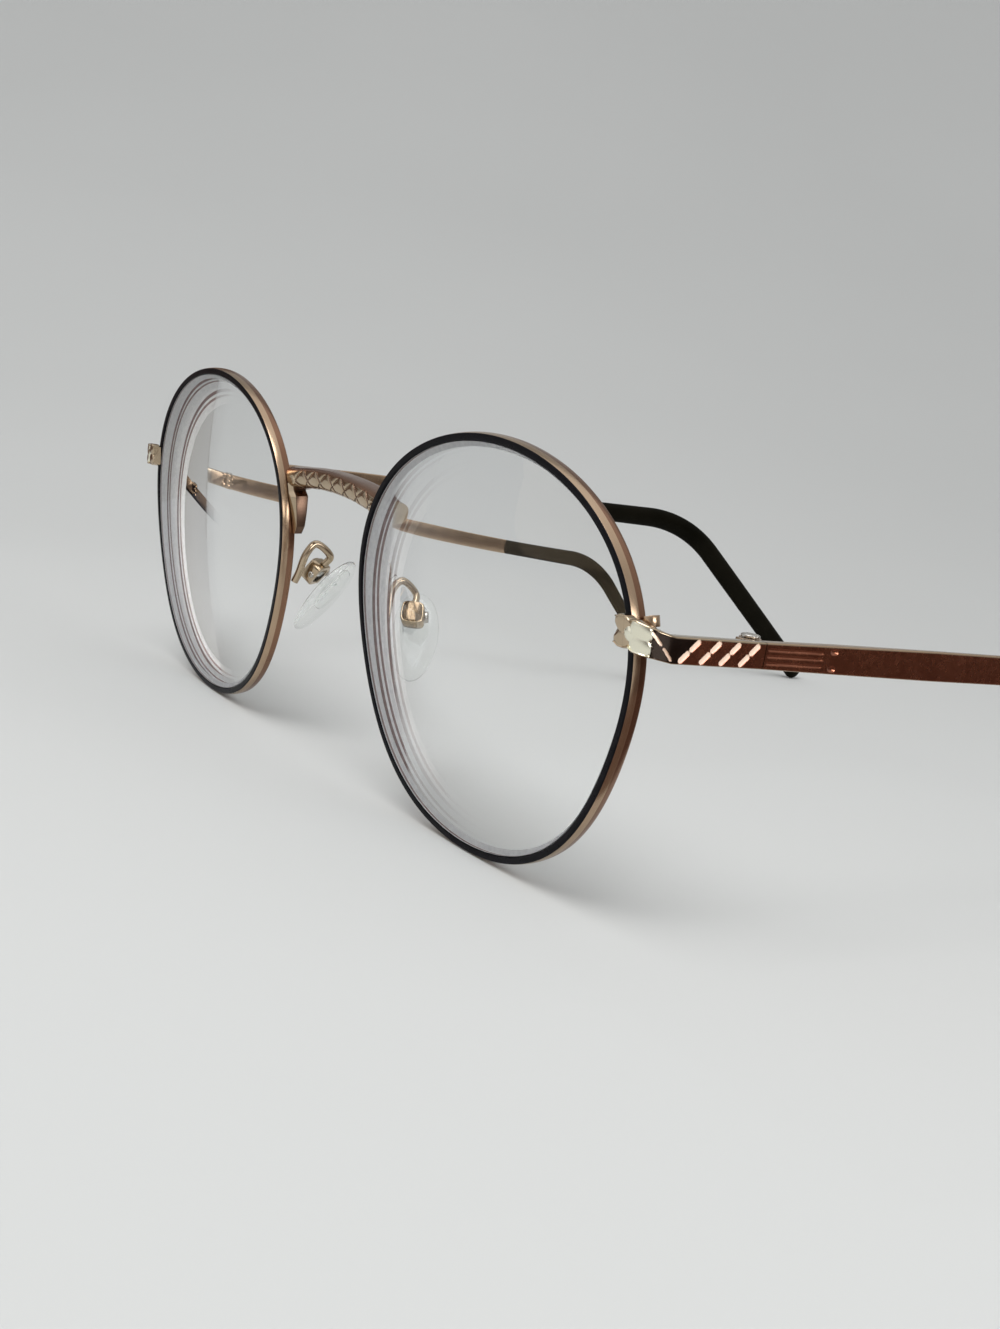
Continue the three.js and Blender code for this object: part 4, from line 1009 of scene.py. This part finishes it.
def endpiece_skin():
    """Carved band with a notch at its inner end; the lacquer is painted dark as shade up to the lattice and is
    copper from there.
    """
    runs = []
    rings = []
    sections = []
    stations = endpiece_path()
    before = stations[0][0]
    run = 0
    for place, direction, turned in stations:
        run += (place - before).length
        before = place
        runs.append(run)
        flat = Vector((direction.x, direction.y, 0)).normalized()
        up = LEANING.lerp(UPRIGHT, turned).normalized()
        band = lerp(ENDPIECE_FRONT_BAND, TEMPLE_SEAM_BAND, smooth(turned, 0, 1)) * plate_waist(run)
        section = band_section(ENDPIECE_THICKNESS, band, lambda height: endpiece_cut(run, height))
        sections.append(section)
        ring = ring_at(section, place, UPRIGHT.cross(flat), up)
        if turned == 0:
            left = 1 - run / (PLATE_OVERLAP + RIM_OUTER_WALL + SEAT)
            shares = [max(0, 1 - abs(height) / NOTCH_HALF) for _, height in section]
            ring = [point + flat * NOTCH * left * share for point, share in zip(ring, shares)]
        rings.append(ring)
    rest = len(section) - FACE_ROWS - 1

    def finish(ring, side):
        if side < rest:
            return PALE_GOLD
        u = (runs[ring] + runs[ring + 1]) / 2
        outline = sections[ring]
        v = (outline[side][1] + outline[(side + 1) % len(outline)][1]) / 2
        if u < LOBES_END:
            # The lobes past the first two are painted cream as a highlight.
            return PALE_GOLD if lobe_at(u, v)[1] in UNHIGHLIGHTED_LOBES else HIGHLIGHT_CREAM
        # The dashes' floors are painted bright as a highlight.
        if lattice_dash(u, v) is not None:
            return DASH_HIGHLIGHT
        # Up to the first rising stroke the lacquer is painted dark as shade.
        return SHADED_LACQUER if u - v < RISE_CENTRES[0] else COPPER_LACQUER

    return Skin(PALE_GOLD).rings(rings, finish)


dress("endpiece", endpiece_skin(), LEVEL, sharp_angle=40)


# Temples and tips, in the hinge's frame

def arm_ring(length, x, section):
    """Ring of an arm's section at a length along its middle, behind the hinge and round the bend."""
    bent = min(BEND_ANGLE, max(0, (length - BEND_START) / BEND_RADIUS))
    straight = max(0, length - BEND_START - BEND_RADIUS * BEND_ANGLE)
    y = min(length, BEND_START) + BEND_RADIUS * math.sin(bent) + straight * math.cos(bent)
    z = -BEND_RADIUS * (1 - math.cos(bent)) - straight * math.sin(bent)
    up = Vector((0, math.sin(bent), math.cos(bent)))
    return ring_at(section, Vector((x, y, z)), Vector((-1, 0, 0)), up)


def root_cut(length, height):
    """Depth of the carving at the root: a reeded panel, then a thumb cut at each edge."""
    cut = 0
    panel = smooth(length, *REED_START) * (1 - smooth(length, *REED_END))
    for groove in REED_GROOVES:
        off = abs(height - groove) / REED_HALF
        cut = max(cut, panel * REED_DEPTH * max(0, 1 - off) ** REED_POWER)
    for way in (-1, 1):
        along = (length - THUMB_AT) / THUMB_LENGTH
        across = (height - way * THUMB_HEIGHT) / THUMB_WIDTH
        cut = max(cut, THUMB_DEPTH * max(0, 1 - along * along - across * across))
    return cut


def temple_skin():
    """Arm from the seam to the tip, lacquered on its outer face."""
    root_end = TEMPLE_ROOT_LENGTH
    taper_end = TEMPLE_ROOT_LENGTH + TEMPLE_TAPER_LENGTH
    root_band = (TEMPLE_SEAM_BAND + TEMPLE_BAND) / 2
    lengths = spread(ROOT_STEPS, SEAM_GAP / 2, root_end + ROOT_MARGIN)
    lengths += spread(TAPER_STEPS, root_end + ROOT_MARGIN, taper_end)[1:]
    lengths += spread(SHAFT_STEPS, taper_end, TIP_START - SEAT)[1:]
    rings = []
    for length in lengths:
        to_root = min(1, length / root_end)
        tapered = min(1, max(0, (length - root_end) / TEMPLE_TAPER_LENGTH))
        thickness = lerp(ENDPIECE_THICKNESS, TEMPLE_THICKNESS, tapered)
        band = lerp(lerp(TEMPLE_SEAM_BAND, root_band, to_root), TEMPLE_BAND, tapered)
        section = band_section(thickness, band, lambda height: root_cut(length, height))
        rings.append(arm_ring(length, TEMPLE_FACE - thickness / 2, section))
    rest = len(section) - FACE_ROWS - 1

    def finish(_, side):
        return COPPER_LACQUER if side >= rest else ROSE_GOLD

    return Skin(ROSE_GOLD).rings(rings, finish)


dress("temple", temple_skin(), HINGE, sharp_angle=40)


def tip_skin():
    """Sleeve over the end of the arm, which swells towards the bend."""
    rings = []
    end = TEMPLE_LENGTH - TIP_INSET
    shaft = spread(TIP_STEPS, TIP_START, end - TIP_ROUND)
    cap = [end - TIP_ROUND * (1 - math.sin(a)) for a in spread(TIP_CAP_STEPS, 0, TIP_CAP_ANGLE)[1:]]
    for length in shaft + cap:
        left = max(0, (length - (end - TIP_ROUND)) / TIP_ROUND)
        entry = smooth(length - TIP_START, 0, TIP_ENTRY)
        shrink = math.sqrt(max(0, 1 - left * left)) * lerp(TIP_ENTRY_SHARE, 1, entry)
        swollen = smooth(length, TIP_START, BEND_START + BEND_RADIUS)
        band = (lerp(TIP_FRONT_BAND, TIP_BAND, swollen) - 2 * TIP_INSET) * shrink
        section = oval((TIP_THICKNESS - TIP_INSET) * shrink, band, TIP_SIDES)
        rings.append(arm_ring(length, CORE_X, section))
    return Skin(TIP_ACETATE).rings(rings)


dress("temple_tip", tip_skin(), HINGE, sharp_angle=50)


# Nose pads: wire arm, box, and silicone pad

def pad_arm_skin():
    """Wire that lies on the back of the rim, loops up and comes down on the box."""
    behind = RIM_DEPTH + SEAT + ARM_RADIUS

    def on_rim(height, lift):
        point, _ = outline_at(nose_side(height), RIM_OUTER_WALL / 2)
        point.y = behind + lift
        return EYE_TO_FRONT @ point

    lid = BOX_HEIGHT / 2 + SEAT

    def over_box(rise):
        return PAD_TO_FRONT @ Vector((0, 0, lid + rise))

    box_top = over_box(0)
    loop_height = ARM_LOOP_TOP - ARM_RADIUS
    leg_top = on_rim(lerp(ARM_ROOT_HIGH, loop_height, ARM_LEG_SHARE), ARM_LIFT)
    loop_top = leg_top.lerp(box_top, ARM_LOOP_SHARE)
    loop_top.x = leg_top.x
    loop_top.z = loop_height
    knots = [
        on_rim(ARM_ROOT_LOW, 0), on_rim(ARM_ROOT_HIGH, ARM_ROOT_LIFT), leg_top, loop_top,
        over_box((loop_height - box_top.z) / 2), box_top,
    ]
    wire = oval(2 * ARM_RADIUS, 2 * ARM_RADIUS, ARM_SIDES)
    return Skin(PALE_GOLD).rings(tube(spline(knots, ARM_STEPS), wire))


dress("pad_arm", pad_arm_skin(), FRONT, sharp_angle=50)


def pad_box_skin():
    """Squared cup that opens towards the nose; its back is a domed panel in a rounded rim, painted a darker bronze
    as shade.
    """
    floor = -(BOX_HEIGHT / 2 - BOX_WALL)
    back, mouth = floor - BOX_WALL, floor - BOX_WALL + BOX_DEPTH

    def ring(depth, width, height):
        turns = spread(BOX_SIDES, 0, -TAU)[:-1]
        points = [squared(turn, width, height, BOX_SQUARE) for turn in turns]
        return [Vector((point.x, depth, point.y)) for point in points]

    def panel_ring(share):
        points = ring(back, BOX_WIDTH * share, BOX_HEIGHT * share)
        for point in points:
            bend = BOX_PANEL_CURVE * (2 * point.x / BOX_WIDTH) ** 2
            point.y += bend + BOX_PANEL_CAMBER * (2 * point.z / BOX_HEIGHT) ** 2
        return points

    rings = [panel_ring(share) for share in BOX_PANEL]
    for rise, share in BOX_RIM:
        rings.append(ring(back + rise, BOX_WIDTH * share, BOX_HEIGHT * share))
    rings.append(ring(mouth - BOX_LIP, BOX_WIDTH, BOX_HEIGHT))
    rings.append(ring(mouth, BOX_WIDTH - BOX_LIP_INSET, BOX_HEIGHT - BOX_LIP_INSET))
    inner = 2 * BOX_WALL
    rings.append(ring(mouth, BOX_WIDTH - inner, BOX_HEIGHT - inner))
    rings.append(ring(floor, BOX_WIDTH - inner, BOX_HEIGHT - inner))

    def finish(ring, _):
        # The back panel is painted the darker bronze as shade.
        return PANEL_SHADE_BRONZE if ring < len(BOX_PANEL) - 1 else PALE_GOLD

    return Skin(PALE_GOLD).rings(rings, finish, first_end=PANEL_SHADE_BRONZE)


dress("pad_box", pad_box_skin(), PAD, sharp_angle=40)


def nose_pad_skin():
    """Egg-shaped cushion with a soft edge, crowned towards the nose."""
    rings = []
    for angle in spread(PAD_RINGS, -PAD_EDGE_ANGLE, PAD_EDGE_ANGLE):
        behind = angle < 0
        dome = PAD_EDGE_SHARE if behind else 1 - PAD_EDGE_SHARE
        depth = PAD_STANDOFF + PAD_THICKNESS * (PAD_EDGE_SHARE + dome * math.sin(angle))
        shrink = math.cos(angle) ** (PAD_BACK_POWER if behind else PAD_FRONT_POWER)
        ring = []
        for turn in spread(PAD_SIDES, 0, -TAU)[:-1]:
            x = PAD_WIDTH / 2 * shrink * (1 + PAD_EGG * math.sin(turn)) * math.cos(turn)
            z = PAD_HEIGHT / 2 * shrink * math.sin(turn) - PAD_MOUNT_OFFSET
            ring.append(Vector((x, depth, z)))
        rings.append(ring)
    return Skin(SILICONE).rings(rings)


dress("nose_pad", nose_pad_skin(), PAD, sharp_angle=60)


# Solids that stay

for solid_side in SIDES:
    for block in ("rim_lock_upper", "rim_lock_lower", "hinge_front_leaf", "hinge_temple_leaf"):
        refine(f"{block}_{solid_side}", ROSE_GOLD, BLOCK_BEVEL)
    for screw in ("rim_lock_screw", "hinge_screw", "pad_screw"):
        refine(f"{screw}_{solid_side}", SCREW_STEEL, SCREW_BEVEL)
    refine(f"pad_core_{solid_side}", CORE_PLASTIC, CORE_BEVEL)


# Stage: camera, light, floor with its backdrop, and flags

CAMERA_RIGHT = Vector((math.cos(CAMERA_YAW), math.sin(CAMERA_YAW), 0))


def camera():
    """Camera of the photograph; its yaw and pitch are measured from the leaning front."""
    data = bpy.data.cameras.new("photo_camera")
    data.lens = CAMERA_LENS
    data.clip_start = CAMERA_CLIP
    back = Vector((
        math.sin(CAMERA_YAW) * math.cos(CAMERA_PITCH),
        -math.cos(CAMERA_YAW) * math.cos(CAMERA_PITCH),
        math.sin(CAMERA_PITCH),
    ))
    axes = Matrix((CAMERA_RIGHT, back.cross(CAMERA_RIGHT), back)).transposed().to_4x4()
    roll = Matrix.Rotation(CAMERA_ROLL, 4, "Z")
    piece = add("photo_camera", data)
    piece.matrix_world = Matrix.Translation(CAMERA_PLACE) @ FRONT_TILT_MATRIX @ axes @ roll
    bpy.context.scene.camera = piece


def studio():
    """World: soft ambient for the object, a room with a dark side for what it mirrors, and pale paper
    for what is seen, also through glass."""
    world = bpy.data.worlds.new("studio")
    bpy.context.scene.world = world
    world.use_nodes = True
    nodes, links = world.node_tree.nodes, world.node_tree.links

    def mixed(share, first, second):
        mix = nodes.new("ShaderNodeMixShader")
        for socket, output in zip(mix.inputs, (share, first, second)):
            links.new(output, socket)
        return mix.outputs["Shader"]

    ambient = nodes["Background"]
    ambient.inputs["Color"].default_value = AMBIENT
    room = nodes.new("ShaderNodeBackground")
    place = nodes.new("ShaderNodeTexCoord")
    # The part of a direction along the bright side, from -1 to 1, becomes 0 to 1.
    turn = nodes.new("ShaderNodeMapping")
    turn.inputs["Rotation"].default_value = Vector(ROOM_BRIGHT).rotation_difference((1, 0, 0)).to_euler()
    turn.inputs["Scale"].default_value = (0.5, 0.5, 0.5)
    turn.inputs["Location"].default_value = (0.5, 0, 0)
    gradient = nodes.new("ShaderNodeTexGradient")
    ramp = nodes.new("ShaderNodeValToRGB")
    for end, position, tone in zip(ramp.color_ramp.elements, ROOM_RANGE, (ROOM_DARK, ROOM_PALE)):
        end.position = position
        end.color = tone
    links.new(place.outputs["Generated"], turn.inputs["Vector"])
    links.new(turn.outputs["Vector"], gradient.inputs["Vector"])
    links.new(gradient.outputs["Fac"], ramp.inputs["Fac"])
    links.new(ramp.outputs["Color"], room.inputs["Color"])
    paper = nodes.new("ShaderNodeBackground")
    paper.inputs["Color"].default_value = ROOM_PAPER
    ray = nodes.new("ShaderNodeLightPath").outputs
    seen = nodes.new("ShaderNodeMath")
    seen.operation = "ADD"
    links.new(ray["Is Camera Ray"], seen.inputs[0])
    links.new(ray["Is Transmission Ray"], seen.inputs[1])
    backgrounds = [node.outputs["Background"] for node in (ambient, room, paper)]
    unseen = mixed(ray["Is Glossy Ray"], *backgrounds[:2])
    links.new(mixed(seen.outputs["Value"], unseen, backgrounds[-1]), nodes["World Output"].inputs["Surface"])


def stage_piece(name, points, faces, finish):
    """Piece of the set around the object."""
    mesh = bpy.data.meshes.new(name)
    mesh.from_pydata(points, [], faces)
    mesh.materials.append(finish)
    piece = add(name, mesh)
    return piece


def backdrop():
    """Paper that lies as the floor and sweeps up behind the object, square to the photo's view."""
    away = Vector((-math.sin(CAMERA_YAW), math.cos(CAMERA_YAW), 0))
    cove = [
        (SWEEP_START + SWEEP_RADIUS * math.sin(turn), SWEEP_RADIUS * (1 - math.cos(turn)))
        for turn in spread(SWEEP_STEPS, 0, math.pi / 2)
    ]
    profile = [(-FLOOR_FRONT, 0), *cove, (SWEEP_START + SWEEP_RADIUS, SWEEP_HEIGHT)]
    points = [
        away * reach + CAMERA_RIGHT * way * FLOOR_HALF_WIDTH + Vector((0, 0, height))
        for reach, height in profile
        for way in (-1, 1)
    ]
    faces = [(i, i + 1, i + 3, i + 2) for i in range(0, len(points) - 2, 2)]
    floor_paper = varied(
        "floor_paper", ((0.64, 0.65, 0.64), (0.66, 0.67, 0.66)), tone_grain=(0.004, 2),
        Roughness=0.9, Specular_IOR_Level=0.1,
    )
    stage_piece("floor", points, faces, floor_paper).data.shade_smooth()


def flags():
    """Dark cards that only mirrors see, to give the metal its brown side."""
    flag_cloth = varied(
        "flag_cloth", ((0.15, 0.105, 0.09), (0.19, 0.135, 0.115)), tone_grain=(0.05, 3),
        Roughness=1.0, Specular_IOR_Level=0.0,
    )
    for name, corners in FLAGS.items():
        piece = stage_piece(name, corners, [(0, 1, 2, 3)], flag_cloth)
        piece.visible_camera = False
        piece.visible_diffuse = False
        piece.visible_transmission = False
        piece.visible_shadow = False


def softbox(name, place, aim, width, height, power, spread_angle=math.pi):
    """Rectangular lamp that faces a point."""
    data = bpy.data.lights.new(name, "AREA")
    data.shape = "RECTANGLE"
    data.size, data.size_y = width, height
    data.energy = power
    data.spread = spread_angle
    lamp = add(name, data)
    lamp.location = place
    lamp.rotation_euler = (Vector(aim) - Vector(place)).to_track_quat("-Z", "Y").to_euler()


camera()
studio()
bpy.context.scene.view_settings.view_transform = "Standard"
backdrop()
flags()
softbox("key", place=(0.16, -0.4, 0.75), aim=(0.02, -0.08, 0), width=0.5, height=0.5, power=3.6)
softbox(
    "strip", place=(0.44, 0.0, 0.15), aim=(0.066, -0.062, 0.03), width=0.3, height=0.1, power=0.11,
    spread_angle=math.radians(80),
)
